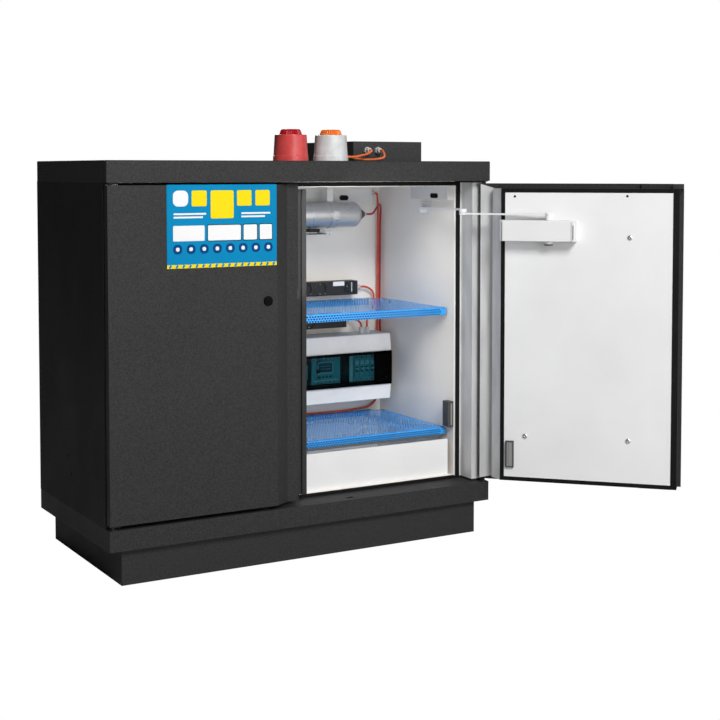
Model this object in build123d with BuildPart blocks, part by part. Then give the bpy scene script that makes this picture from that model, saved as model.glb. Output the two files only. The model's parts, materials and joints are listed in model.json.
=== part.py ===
from build123d import *
import os
from math import acos, atan2, cos, degrees, hypot, pi, radians, sin, tan

# Fire-resistant underbench cabinet for storing and charging lithium batteries.
# Millimetres. Origin: centre of the plinth's underside. +X to the right, +Y to the back,
# +Z up. At rest the left door is closed and the right door stands open.

# ---------------------------------------------------------------- driving values
# overall
width = 1193.0
depth = 580.0
height = 1110.0
sheet = 1.5  # steel sheet of the skins
gap = 0.3  # between pieces that are fitted beside each other
running = 0.06  # radial clearance of a turning fit

# plinth, base frame and lid
plinth_height = 96.0
plinth_side_inset = 40.0
plinth_front_inset = 20.0
plinth_back_inset = 10.0
plinth_floor_gap = 2.0
skid_width = 60.0
base_frame_height = 56.0
lid_height = 58.0
lid_edge_radius = 3.0

# insulated body
side_wall = 68.0
back_wall = 55.0
ceiling_thickness = 16.0
floor_step = 10.0
liner = 2.0
body_setback = 89.0  # face that the doors close against, behind the front
jamb_setback = 30.0  # front edge of the side walls, behind the front
jamb_width = 43.0
frame_seal_width = 15.0
frame_seal_inset = 5.0  # from the edge of the opening
frame_seal_thickness = 1.0
earth_hole_radius = 4.0
earth_hole_pitch = (30.0, 47.0)
earth_hole_from_back = 282.0
earth_hole_above_base = 95.0

# doors
door_side_gap = 2.6
door_bottom_gap = 11.0
door_top_gap = 7.0
door_meeting_gap = 2.5  # from the middle of the cabinet
door_seat_gap = 1.5  # from the inner panel to the body face
pan_depth = 24.0
bevel_start = 110.5  # distances from the middle of the cabinet
bevel_end = 67.5
grip_end = 32.5
grip_depth = 26.0
grip_lip_depth = 35.0
post_start = 16.5
post_thickness = 6.0
core_edge = 12.5
core_side_edge = 77.0
core_foot_edge = 46.0  # clears the jamb
core_foot_depth = 51.0
core_bottom_rise = 12.0
pan_step = 12.0  # from the bevel to the deeper grip side
core_top_drop = 14.0
inner_panel_thickness = 2.0
door_seal_width = 12.0
door_seal_drop = 0.5
door_open_angle = 134.4

# hinge pins
pivot_from_side = 13.0
pivot_from_front = 12.0
pin_radius = 5.0
pin_length = 20.0
bush_radius = 8.0
bush_flange_radius = 10.0
bush_flange = 2.0
bush_length = 22.0

# locks and bolts
lock_from_middle = 138.5
lock_height = 729.0
lock_radius = 13.0
lock_proud = 5.0
lock_shaft_radius = 9.0
lock_shaft_length = 17.0
key_slot = (3.0, 12.0, 3.0)
bolt_from_middle = 129.5
bolt_from_front = 26.0
bolt_radius = 5.0
bolt_travel = 22.0
bolt_clear = 0.6
bolt_slot = (22.0, 15.0, 20.0)

# door closers
closer_start = 64.0  # from the hinge pin along the door
closer_length = 220.0
closer_drop = 96.0  # from the ceiling
closer_height = 60.0
closer_depth = 45.0
closer_corner = 8.0
spindle_along = 206.0
spindle_off_panel = 24.5
spindle_radius = 10.0
spindle_cap = 8.0
arm_length = 256.5
arm_width = 16.0
arm_thickness = 5.0
arm_gap = 14.0  # from the closer body to the main arm
forearm_length = 248.5
forearm_width = 14.0
elbow_radius = 11.0
elbow_gap = 1.0
elbow_boss = 6.0
shoe_from_wall = 18.0
shoe_from_front = 243.0
shoe_plate = (60.0, 40.0, 4.0)
shoe_plate_drop = 6.0  # below the lug
shoe_pin_radius = 4.0
shoe_pin_rise = 9.0
shoe_lug_height = 13.0
shoe_lug_radius = 9.0

# shelves and tray
shelf_side_gap = 5.0
shelf_front = 124.0
shelf_back_gap = 3.0
upper_shelf_top = 669.0
lower_shelf_top = 303.0
upper_lip = 23.0
lower_lip = 20.0
shelf_sheet = 2.0
notch_from_wall = (5.0, 42.0)
notch_depth = 28.0
clip_size = (25.0, 20.0, 15.0)
clip_thickness = 2.0
front_clip_from_front = 170.0
back_clip_from_back = 75.0
tray_side_gap = 11.0
tray_front = 105.0
tray_back_gap = 6.0
tray_height = 109.0

# extinguisher
bottle_radius = 40.0
bottle_from_back = 105.0
bottle_drop = 91.0  # from the ceiling
bottle_from_right = 147.0
bottle_length = 540.0
bottle_shoulder = 14.0
bottle_neck_radius = 17.0
bottle_neck = 32.0
bottle_outlet_radius = 8.0
strap_places = (0.18, 0.82)
strap_width = 22.0
strap_thickness = 2.0
hanger_width = 46.0
release_size = (90.0, 30.0, 20.0)

# air ducts
duct_from_wall = 58.0
duct_depth = 45.0
duct_drop = 53.0
duct_slot = (27.0, 13.0, 3.5)
duct_slot_pitch = 200.0
duct_slot_drop = 13.0
duct_slot_offset = -31.5
vent_thickness = 30.0
vent_range = (116.0, 302.0)
vent_drop = 41.0
vent_slot_from_front = 192.0
vent_slot_length = 45.0
vent_slot_rise = 2.0

# power strips
strip_length = 482.0
strip_depth = 45.0
strip_height = 44.0
strip_edge = 2.5
upper_strip_from_right = 110.0
strip_above_shelf = 17.0
lower_strip_from_right = 151.0
strip_above_box = 21.0
socket_radius = 20.5
socket_well_radius = 18.0
socket_depth = 6.0
socket_well = 3.5
socket_pitch = 52.0
socket_from_left = 36.0
socket_count = 7
rocker_from_right = 40.0
rocker_size = (16.0, 24.0)
rocker_depth = 5.0
rocker_proud = 3.0
rocker_pivot_radius = 0.9

# distribution box
box_from_right = 21.0
box_width = 410.0
box_above_shelf = 48.0
box_height = 210.0
box_depth = 110.0
box_cover_depth = 30.0
cover_lean = 7.0  # the bands lean back from the window
box_wall = 2.5
box_edge = 3.0
window_proud = 4.0
window_below_top = 53.0
window_height = 108.0
window_thickness = 4.0
window_gap = 0.8
window_frame = (14.0, 7.0)  # cover behind the window's edge, at its ends and along it
pull_length = 40.0
pull_proud = 2.0
pull_height = 4.0
hinge_rod_radius = 2.0
module = 17.5
module_groups = ((3.0, 4), (8.0, 6), (14.6, 1), (15.6, 5))  # start in modules, and count
module_height = 85.0
module_depth = 44.0
row_modules = 18
row_start_module = 3.0
nose_height = 45.0
nose_depth = 16.0
nose_from_front = 22.0
rail_height = 35.0
toggle_radius = 7.0
toggle_width = 10.0
toggle_reach = 12.0
toggle_swing = 50.0

# glands and cables
gland_radius = 9.0
gland_nut_radius = 11.0
gland_length = 20.0
cable_radius = 3.25
box_glands_from_right = (81.0, 60.0)
box_glands_from_back = 55.0
sensor_inside = 12.0
sensor_from_back = 21.0
sensor_below_window = 8.0
cable_bend = 0.45

# door switches and the plates that work them
switch_size = (20.0, 32.0, 78.0)
switch_above_shelf = 5.0
plate_size = (24.0, 9.0, 78.0)
plate_along = 69.0

# on the lid
beacon_from_front = 200.0
beacon_pitch = 132.0
beacon_from_control = 94.0
beacon_base_radius = 51.0
beacon_base_height = 16.0
beacon_foot_radius = 48.5
beacon_top_radius = 43.0
beacon_height = 76.0
lens_radius = 32.0
lens_top_radius = 27.0
lens_height = 16.0
lens_bevel = 4.0
beacon_gland_radius = 6.0
beacon_gland_reach = 58.0
beacon_gland_shift = 15.0
beacon_gland_height = 13.0
control_from_side = 95.0
control_width = 241.0
control_front = 230.0
control_depth = 315.0
control_height = 60.0
control_edge = 2.5
control_gland_height = 33.0
control_gland_places = (45.0, 82.0)

# ---------------------------------------------------------------- derived places
half = width / 2
front = -depth / 2
back = depth / 2
base_top = plinth_height + base_frame_height
lid_bottom = height - lid_height
cavity_half = half - side_wall
cavity_floor = base_top + floor_step
cavity_ceiling = lid_bottom - ceiling_thickness
cavity_back = back - back_wall
body_face = front + body_setback
core_half = cavity_half + liner + gap

door_bottom = base_top + door_bottom_gap
door_top = lid_bottom - door_top_gap
door_outer = half - door_side_gap
pivot_x = half - pivot_from_side
pivot_y = front + pivot_from_front
door_inner_face = body_face - door_seat_gap
core_face = door_inner_face - inner_panel_thickness
core_bottom = door_bottom + core_bottom_rise
core_top = door_top - core_top_drop

closer_top = cavity_ceiling - closer_drop
closer_bottom = closer_top - closer_height
arm_bottom = closer_top + arm_gap
arm_top = arm_bottom + arm_thickness
forearm_bottom = arm_top + elbow_gap + elbow_boss
forearm_top = forearm_bottom + arm_thickness
shoe_x = cavity_half - shoe_from_wall
shoe_y = front + shoe_from_front
spindle_x = pivot_x - spindle_along
spindle_y = door_inner_face + spindle_off_panel

bottle_y = cavity_back - bottle_from_back
bottle_z = cavity_ceiling - bottle_drop
bottle_right = cavity_half - bottle_from_right
duct_half_length = cavity_half - duct_from_wall
shelf_half = cavity_half - shelf_side_gap
box_right = cavity_half - box_from_right
box_left = box_right - box_width
box_bottom = lower_shelf_top + box_above_shelf
box_top = box_bottom + box_height
box_face = cavity_back - box_depth
row_left = (box_left + box_right - row_modules * module) / 2
window_top = box_top - window_below_top
window_bottom = window_top - window_height
window_axis_y = box_face + window_thickness / 2
window_axis_z = window_top - hinge_rod_radius - window_gap
nose_face = box_face + nose_from_front
row_middle = (window_top + window_bottom) / 2
sensor_y = cavity_back - sensor_from_back
sensor_z = window_bottom - sensor_below_window
strip_face = cavity_back - strip_depth
upper_strip_right = cavity_half - upper_strip_from_right
lower_strip_right = cavity_half - lower_strip_from_right
upper_strip_bottom = upper_shelf_top + strip_above_shelf
lower_strip_bottom = box_top + strip_above_box
control_left = half - control_from_side - control_width
white_beacon_x = control_left - beacon_from_control
red_beacon_x = white_beacon_x - beacon_pitch
rest_angle = {"left": 0.0, "right": door_open_angle}

os.makedirs("parts", exist_ok=True)


# ---------------------------------------------------------------- helpers
def fill(x, y, z, mode=Mode.ADD):
    """Add or cut a box that fills three ranges, in the part being built."""
    with Locations(((x[0] + x[1]) / 2, (y[0] + y[1]) / 2, (z[0] + z[1]) / 2)):
        Box(x[1] - x[0], y[1] - y[0], z[1] - z[0], mode=mode)


def drill(x, y, z, radius, mode=Mode.SUBTRACT):
    """Cut or add an upright cylinder over the range z."""
    with Locations((x, y, (z[0] + z[1]) / 2)):
        Cylinder(radius, z[1] - z[0], mode=mode)


def save(part, name):
    """Label a finished piece and write it to its own STEP file."""
    part.label = name
    export_step(part, f"parts/{name}.step")


def on_side(part, side):
    """Take a piece of the closed left door to the given door as it stands at rest."""
    if side == "right":
        part = mirror(part, about=Plane.YZ)
    sign = 1 if side == "right" else -1
    return part.rotate(Axis((sign * pivot_x, pivot_y, 0), (0, 0, 1)), rest_angle[side])


def turned(x, y, about_x, about_y, angle):
    """A point turned about an upright axis, by degrees."""
    c, s = cos(radians(angle)), sin(radians(angle))
    dx, dy = x - about_x, y - about_y
    return about_x + c * dx - s * dy, about_y + s * dx + c * dy


def elbow_place(angle):
    """The closer's spindle and elbow on the right side, with the door turned open by angle."""
    sx, sy = turned(spindle_x, spindle_y, pivot_x, pivot_y, angle)
    reach = hypot(shoe_x - sx, shoe_y - sy)
    lean = acos((arm_length**2 + reach**2 - forearm_length**2) / (2 * arm_length * reach))
    heading = atan2(shoe_y - sy, shoe_x - sx) + lean
    return (sx, sy), (sx + arm_length * cos(heading), sy + arm_length * sin(heading))


def upright_bar(start, end, bar_width, z_range):
    """A flat bar with round ends between two points seen from above."""
    middle = ((start[0] + end[0]) / 2, (start[1] + end[1]) / 2)
    heading = degrees(atan2(end[1] - start[1], end[0] - start[0]))
    length = hypot(end[0] - start[0], end[1] - start[1])
    with BuildPart() as bar:
        with BuildSketch(Plane.XY.offset(z_range[0])):
            with Locations(Location(middle, heading)):
                SlotCenterToCenter(length, bar_width)
        extrude(amount=z_range[1] - z_range[0])
    return bar.part


# ---------------------------------------------------------------- plinth and base
def make_plinth():
    """Three skids that carry the cabinet, and the cover that closes their front."""
    skid_front = front + plinth_front_inset + sheet
    skid_back = back - plinth_back_inset
    outer = half - plinth_side_inset
    with BuildPart() as plinth_skids:
        fill((-outer, -outer + skid_width), (skid_front, skid_back), (0, plinth_height))
        fill((-skid_width / 2, skid_width / 2), (skid_front, skid_back), (0, plinth_height))
        fill((outer - skid_width, outer), (skid_front, skid_back), (0, plinth_height))
    save(plinth_skids.part, "plinth_skids")

    with BuildPart() as plinth_cover:
        fill((-outer, outer), (skid_front - sheet, skid_front), (plinth_floor_gap, plinth_height))
    save(plinth_cover.part, "plinth_cover")


def make_base_frame():
    """The frame under the body: its front is the ledge below the doors."""
    with BuildPart() as base_frame:
        fill((-half, half), (front, back), (plinth_height, base_top))
        fillet(base_frame.edges().filter_by(Axis.Z), lid_edge_radius)
        for side in (-1, 1):
            drill(side * pivot_x, pivot_y, (base_top - bush_length, base_top), bush_radius)
            with Locations((side * bolt_from_middle, front + bolt_from_front, base_top - bolt_slot[2] / 2)):
                Box(*bolt_slot, mode=Mode.SUBTRACT)
    save(base_frame.part, "base_frame")


def make_lid():
    """The pressed lid, open below, over the insulated roof."""
    with BuildPart() as lid:
        fill((-half, half), (front, back), (lid_bottom, height))
        fillet(lid.edges().filter_by(Axis.Z) + lid.edges().group_by(Axis.Z)[-1], lid_edge_radius)
        roof = ((-half + sheet, half - sheet), (front + sheet, back - sheet))
        fill(roof[0], roof[1], (lid_bottom, height - sheet), mode=Mode.SUBTRACT)
        corners = lid.edges().filter_by(Axis.Z).filter_by(
            lambda edge: abs(edge.center().X) < half - sheet / 2 and edge.length < lid_height - sheet / 2
        )
        fillet(corners, lid_edge_radius)
    save(lid.part, "lid")


# ---------------------------------------------------------------- body
def make_walls():
    """Insulated side walls with their jambs, the back wall and the roof."""
    with BuildPart() as insulated_walls:
        with BuildSketch(Plane.XY.offset(base_top)):
            with BuildLine():
                Polyline(
                    (half - sheet, front + jamb_setback),
                    (half - jamb_width, front + jamb_setback),
                    (half - jamb_width, body_face),
                    (core_half, body_face),
                    (core_half, back - sheet),
                    (half - sheet, back - sheet),
                    close=True,
                )
            make_face()
        extrude(amount=lid_bottom - base_top - gap)
        mirror(about=Plane.YZ)
        back_range = (cavity_back + gap + liner, back - sheet)
        fill((-core_half + gap, core_half - gap), back_range, (base_top, lid_bottom - gap))
        roof = ((-half + sheet, half - sheet), (front + sheet, back - sheet))
        fill(roof[0], roof[1], (lid_bottom, height - sheet))
        inner_corners = insulated_walls.edges().filter_by(Axis.Z).filter_by(
            lambda edge: edge.center().Z > lid_bottom
        )
        fillet(inner_corners, lid_edge_radius)
        for side in (-1, 1):
            drill(side * pivot_x, pivot_y, (lid_bottom, lid_bottom + bush_length), bush_radius)
    save(insulated_walls.part, "insulated_walls")


def make_skins():
    """The textured outer panels of both sides and the back."""
    with BuildPart() as outer_panels:
        y_range = (front + jamb_setback, back)
        fill((half - sheet, half), y_range, (base_top, lid_bottom))
        fill((-half, -half + sheet), y_range, (base_top, lid_bottom))
        inner = half - sheet - gap
        fill((-inner, inner), (back - sheet, back), (base_top, lid_bottom))
        first = (back - earth_hole_from_back, base_top + earth_hole_above_base)
        second = (first[0] + earth_hole_pitch[0], first[1] + earth_hole_pitch[1])
        for y, z in (first, second):
            with Locations(Location((-half + sheet / 2, y, z), (0, 90, 0))):
                Cylinder(earth_hole_radius, 2 * sheet, mode=Mode.SUBTRACT)
    save(outer_panels.part, "outer_panels")


def make_liners():
    """White linings of the cavity: sides, back, floor and ceiling."""
    with BuildPart() as cavity_liners:
        for low in (cavity_half, -cavity_half - liner):
            fill((low, low + liner), (body_face, cavity_back), (cavity_floor + gap, cavity_ceiling - gap))
        inner = cavity_half + liner
        fill((-inner, inner), (cavity_back + gap, cavity_back + gap + liner), (base_top, lid_bottom - gap))
        fill((-inner, inner), (body_face, cavity_back), (base_top, cavity_floor))
        fill((-inner, inner), (body_face, cavity_back), (cavity_ceiling, lid_bottom - gap))
    save(cavity_liners.part, "cavity_liners")


def make_frame_seal():
    """Expanding seal strips on the face round the opening."""
    y_range = (body_face - frame_seal_thickness, body_face)
    inner = cavity_half + frame_seal_inset
    margin = 2.0
    with BuildPart() as frame_seal:
        for side in (-1, 1):
            x_range = sorted((side * inner, side * (inner + frame_seal_width)))
            fill(x_range, y_range, (base_top + margin, lid_bottom - margin))
        across = (-inner + gap, inner - gap)
        fill(across, y_range, (cavity_ceiling + margin, lid_bottom - margin))
        fill(across, y_range, (base_top + margin, cavity_floor - margin))
    save(frame_seal.part, "frame_seal")


def make_hinge_bushes():
    """Flanged bushes for the hinge pins, in the roof and in the base frame."""
    with BuildPart() as hinge_bushes:
        for side in (-1, 1):
            x = side * pivot_x
            bore = pin_radius + running
            drill(x, pivot_y, (lid_bottom, lid_bottom + bush_length), bush_radius, mode=Mode.ADD)
            drill(x, pivot_y, (lid_bottom - bush_flange, lid_bottom), bush_flange_radius, mode=Mode.ADD)
            drill(x, pivot_y, (lid_bottom - bush_flange, lid_bottom + bush_length), bore)
            drill(x, pivot_y, (base_top - bush_length, base_top), bush_radius, mode=Mode.ADD)
            drill(x, pivot_y, (base_top, base_top + bush_flange), bush_flange_radius, mode=Mode.ADD)
            drill(x, pivot_y, (base_top - bush_length, base_top + bush_flange), bore)
    save(hinge_bushes.part, "hinge_bushes")


# ---------------------------------------------------------------- doors
# Door pieces are drawn for the left door, closed, and then taken to their own side.
def pan_outline(inset):
    """The door pan seen from above, moved inwards by the sheet's thickness for its pocket."""
    slant = inset * tan(atan2(grip_depth, bevel_start - bevel_end) / 2)
    step = bevel_start + pan_step
    return (
        (-door_outer + inset, front + pan_depth),
        (-door_outer + inset, front + inset),
        (-bevel_start - slant, front + inset),
        (-bevel_end - slant, front + grip_depth + inset),
        (-grip_end - inset, front + grip_depth + inset),
        (-grip_end - inset, front + grip_lip_depth),
        (-step + inset, front + grip_lip_depth),
        (-step + inset, front + pan_depth),
    )


def make_door_pan(side):
    """The folded outer skin of a door with its two hinge pins."""
    x_pin = -pivot_x
    lock_y = front + sheet / 2
    with BuildPart() as pan:
        with BuildSketch(Plane.XY.offset(door_bottom)):
            with BuildLine():
                Polyline(*pan_outline(0.0), close=True)
            make_face()
        extrude(amount=door_top - door_bottom)
        with BuildSketch(Plane.XY.offset(door_bottom + sheet)):
            with BuildLine():
                Polyline(*pan_outline(sheet), close=True)
            make_face()
        extrude(amount=door_top - door_bottom - 2 * sheet, mode=Mode.SUBTRACT)
        drill(x_pin, pivot_y, (door_top, door_top + pin_length), pin_radius, mode=Mode.ADD)
        drill(x_pin, pivot_y, (door_bottom - pin_length, door_bottom), pin_radius, mode=Mode.ADD)
        with Locations(Location((-lock_from_middle, lock_y, lock_height), (90, 0, 0))):
            Cylinder(lock_shaft_radius + running, 2 * sheet, mode=Mode.SUBTRACT)
        bolt_hole = (door_bottom - sheet, door_bottom + 2 * sheet)
        drill(-bolt_from_middle, front + bolt_from_front, bolt_hole, bolt_radius + bolt_clear)
    save(on_side(pan.part, side), f"{side}_door_pan")


def make_door_core(side):
    """The insulated block behind the pan, bevelled beside its hinge, with the meeting post."""
    bolt_top = lock_height - lock_shaft_radius - 3 * bolt_clear
    with BuildPart() as core:
        with BuildSketch(Plane.XY.offset(door_bottom + sheet + gap)):
            with BuildLine():
                Polyline(*pan_outline(sheet + gap), close=True)
            make_face()
        extrude(amount=door_top - door_bottom - 2 * (sheet + gap))
        with BuildSketch(Plane.XY.offset(core_bottom)):
            with BuildLine():
                Polyline(
                    (-half + core_foot_edge, front + pan_depth),
                    (-half + core_foot_edge, front + core_foot_depth),
                    (-half + core_side_edge, core_face),
                    (-core_edge, core_face),
                    (-core_edge, front + grip_lip_depth + post_thickness),
                    (-door_meeting_gap, front + grip_lip_depth + post_thickness),
                    (-door_meeting_gap, front + grip_lip_depth),
                    (-post_start, front + grip_lip_depth),
                    (-post_start, front + grip_lip_depth + post_thickness),
                    (-grip_end, front + grip_lip_depth + post_thickness),
                    (-grip_end, front + grip_lip_depth),
                    (-bevel_start - pan_step, front + grip_lip_depth),
                    (-bevel_start - pan_step, front + pan_depth),
                    close=True,
                )
            make_face()
        extrude(amount=core_top - core_bottom)
        with Locations(Location((-lock_from_middle, front + bolt_from_front / 2, lock_height), (90, 0, 0))):
            Cylinder(lock_shaft_radius + bolt_clear, bolt_from_front, mode=Mode.SUBTRACT)
        drill(-bolt_from_middle, front + bolt_from_front, (door_bottom, bolt_top), bolt_radius + bolt_clear)
    save(on_side(core.part, side), f"{side}_door_core")


def make_door_lining(side):
    """The white inner panel of a door and the seal strips round it."""
    x_range = (-half + core_side_edge, -core_edge)
    inner_x = (x_range[0] + door_seal_width, x_range[1] - door_seal_width)
    inner_z = (core_bottom + door_seal_width, core_top - door_seal_width)
    y_range = (core_face, door_inner_face)
    with BuildPart() as inner_panel:
        fill(inner_x, y_range, inner_z)
        fillet(inner_panel.edges().filter_by(Axis.Y), 4 * gap)
    save(on_side(inner_panel.part, side), f"{side}_inner_panel")

    seal_y = (core_face, door_inner_face - door_seal_drop)
    with BuildPart() as seal:
        fill((x_range[0], inner_x[0] - gap), seal_y, (core_bottom, core_top))
        fill((inner_x[1] + gap, x_range[1]), seal_y, (core_bottom, core_top))
        fill(inner_x, seal_y, (core_bottom, inner_z[0] - gap))
        fill(inner_x, seal_y, (inner_z[1] + gap, core_top))
    save(on_side(seal.part, side), f"{side}_door_seal")


def make_lock(side):
    """The turning lock barrel in the door's face, and the bolt that it drops."""
    with BuildPart() as barrel:
        with Locations(Location((-lock_from_middle, front - gap - lock_proud / 2, lock_height), (90, 0, 0))):
            Cylinder(lock_radius, lock_proud)
        chamfer(barrel.edges().group_by(Axis.Y)[0], lock_proud / 4)
        shaft_y = front - gap + lock_shaft_length / 2
        with Locations(Location((-lock_from_middle, shaft_y, lock_height), (90, 0, 0))):
            Cylinder(lock_shaft_radius, lock_shaft_length)
        with Locations((-lock_from_middle, front - gap - lock_proud + key_slot[2] / 2, lock_height)):
            Box(key_slot[0], key_slot[2], key_slot[1], mode=Mode.SUBTRACT)
    save(on_side(barrel.part, side), f"{side}_lock_barrel")

    rod_top = lock_height - lock_shaft_radius - bolt_travel / 2
    with BuildPart() as bolt:
        drill(-bolt_from_middle, front + bolt_from_front, (door_bottom, rod_top), bolt_radius, mode=Mode.ADD)
        chamfer(bolt.edges().group_by(Axis.Z)[0], bolt_radius / 3)
    save(on_side(bolt.part, side), f"{side}_bolt_rod")


def make_closer(side):
    """The door closer: body on the door, main arm on its spindle, forearm from the wall."""
    start = -pivot_x + closer_start
    y_range = (door_inner_face, door_inner_face + closer_depth)
    with BuildPart() as body:
        fill((start, start + closer_length), y_range, (closer_bottom, closer_top))
        outer = body.edges().group_by(Axis.Y)[-1]
        fillet(outer.filter_by(Axis.Z).sort_by(Axis.X)[0], 2 * closer_corner)
        fillet(body.faces().sort_by(Axis.Y)[-1].edges(), closer_corner / 4)
        with Locations((-spindle_x, spindle_y, closer_bottom - spindle_cap / 2)):
            Cylinder(spindle_radius + 1, spindle_cap)
    save(on_side(body.part, side), f"{side}_closer_body")

    (sx, sy), elbow = elbow_place(rest_angle[side])
    bar = upright_bar((sx, sy), elbow, arm_width, (arm_bottom, arm_top))
    with BuildPart() as arm:
        add(bar)
        drill(sx, sy, (closer_top + gap, arm_top + elbow_gap), spindle_radius, mode=Mode.ADD)
        drill(*elbow, (arm_bottom, arm_top), elbow_radius, mode=Mode.ADD)
    bar = upright_bar((shoe_x, shoe_y), elbow, forearm_width, (forearm_bottom, forearm_top))
    with BuildPart() as forearm:
        add(bar)
        drill(*elbow, (forearm_bottom - elbow_boss, forearm_top), elbow_radius, mode=Mode.ADD)
        drill(shoe_x, shoe_y, (forearm_bottom, forearm_top), shoe_pin_radius + running)
    for part, name in ((arm.part, "closer_arm"), (forearm.part, "closer_forearm")):
        if side == "left":
            part = mirror(part, about=Plane.YZ)
        save(part, f"{side}_{name}")


def make_closer_shoes():
    """The brackets on the side walls that carry the forearms' pins."""
    pin_foot = forearm_bottom - gap
    with BuildPart() as closer_shoes:
        plate_z = forearm_bottom - shoe_lug_height - shoe_plate_drop
        fill(
            (cavity_half - shoe_plate[2], cavity_half),
            (shoe_y - shoe_plate[0] / 2, shoe_y + shoe_plate[0] / 2),
            (plate_z, plate_z + shoe_plate[1]),
        )
        lug_z = (pin_foot - shoe_lug_height, pin_foot)
        drill(shoe_x, shoe_y, lug_z, shoe_lug_radius, mode=Mode.ADD)
        fill((shoe_x, cavity_half), (shoe_y - shoe_lug_radius, shoe_y + shoe_lug_radius), lug_z)
        pin_z = (pin_foot, pin_foot + shoe_pin_rise)
        drill(shoe_x, shoe_y, pin_z, shoe_pin_radius, mode=Mode.ADD)
        cap_z = (forearm_top + gap, forearm_top + 3)
        drill(shoe_x, shoe_y, cap_z, shoe_pin_radius + 3, mode=Mode.ADD)
        mirror(about=Plane.YZ)
    save(closer_shoes.part, "closer_shoes")


def make_switches():
    """Switches on the side walls that feel the doors, and the plates that work them."""
    with BuildPart() as door_switches:
        x_range = (cavity_half - switch_size[0], cavity_half)
        z_low = lower_shelf_top + switch_above_shelf
        y_range = (body_face + 1, body_face + 1 + switch_size[1])
        fill(x_range, y_range, (z_low, z_low + switch_size[2]))
        fillet(door_switches.faces().sort_by(Axis.X)[0].edges(), 4)
        mirror(about=Plane.YZ)
    save(door_switches.part, "door_switches")


def make_door_plate(side):
    """The plate low on the inner panel that faces the door switch."""
    start = -pivot_x + plate_along + gap
    z_low = core_bottom + 40
    with BuildPart() as plate:
        x_range = (start + door_seal_width, start + door_seal_width + plate_size[0])
        y_range = (door_inner_face, door_inner_face + plate_size[1])
        fill(x_range, y_range, (z_low, z_low + plate_size[2]))
        fillet(plate.faces().sort_by(Axis.Y)[-1].edges(), 2)
    save(on_side(plate.part, side), f"{side}_switch_plate")


# ---------------------------------------------------------------- inside
def make_shelf(name, top, lip):
    """A shelf of folded sheet with a lip at its front and back, notched for the cables."""
    y_range = (front + shelf_front, cavity_back - shelf_back_gap)
    with BuildPart() as shelf:
        fill((-shelf_half, shelf_half), y_range, (top - lip, top))
        hollow_y = (y_range[0] + shelf_sheet, y_range[1] - shelf_sheet)
        fill((-shelf_half, shelf_half), hollow_y, (top - lip, top - shelf_sheet), mode=Mode.SUBTRACT)
        top_edge = shelf.edges().filter_by(Axis.X).group_by(Axis.Z)[-1].sort_by(Axis.Y)[0]
        fillet(top_edge, shelf_sheet * 0.9)
        notch_x = (cavity_half - notch_from_wall[1], cavity_half - notch_from_wall[0])
        fill(notch_x, (y_range[1] - notch_depth, y_range[1]), (top - lip, top), mode=Mode.SUBTRACT)
    save(shelf.part, name)


def make_shelf_clips():
    """Angle clips on the side walls under both shelves."""
    with BuildPart() as shelf_clips:
        for top in (upper_shelf_top, lower_shelf_top):
            ledge = top - shelf_sheet
            for y in (front + front_clip_from_front, cavity_back - back_clip_from_back):
                y_range = (y, y + clip_size[1])
                fill((cavity_half - clip_size[0], cavity_half), y_range, (ledge - clip_thickness, ledge))
                fill((cavity_half - clip_thickness, cavity_half), y_range, (ledge - clip_size[2], ledge))
        mirror(about=Plane.YZ)
    save(shelf_clips.part, "shelf_clips")


def make_sump_tray():
    """The open tray on the cavity floor that catches leaks."""
    outer = cavity_half - tray_side_gap
    y_range = (front + tray_front, cavity_back - tray_back_gap)
    with BuildPart() as sump_tray:
        fill((-outer, outer), y_range, (cavity_floor, cavity_floor + tray_height))
        inner_x = (-outer + sheet, outer - sheet)
        inner_y = (y_range[0] + sheet, y_range[1] - sheet)
        inner_z = (cavity_floor + sheet, cavity_floor + tray_height)
        fill(inner_x, inner_y, inner_z, mode=Mode.SUBTRACT)
    save(sump_tray.part, "sump_tray")


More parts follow.
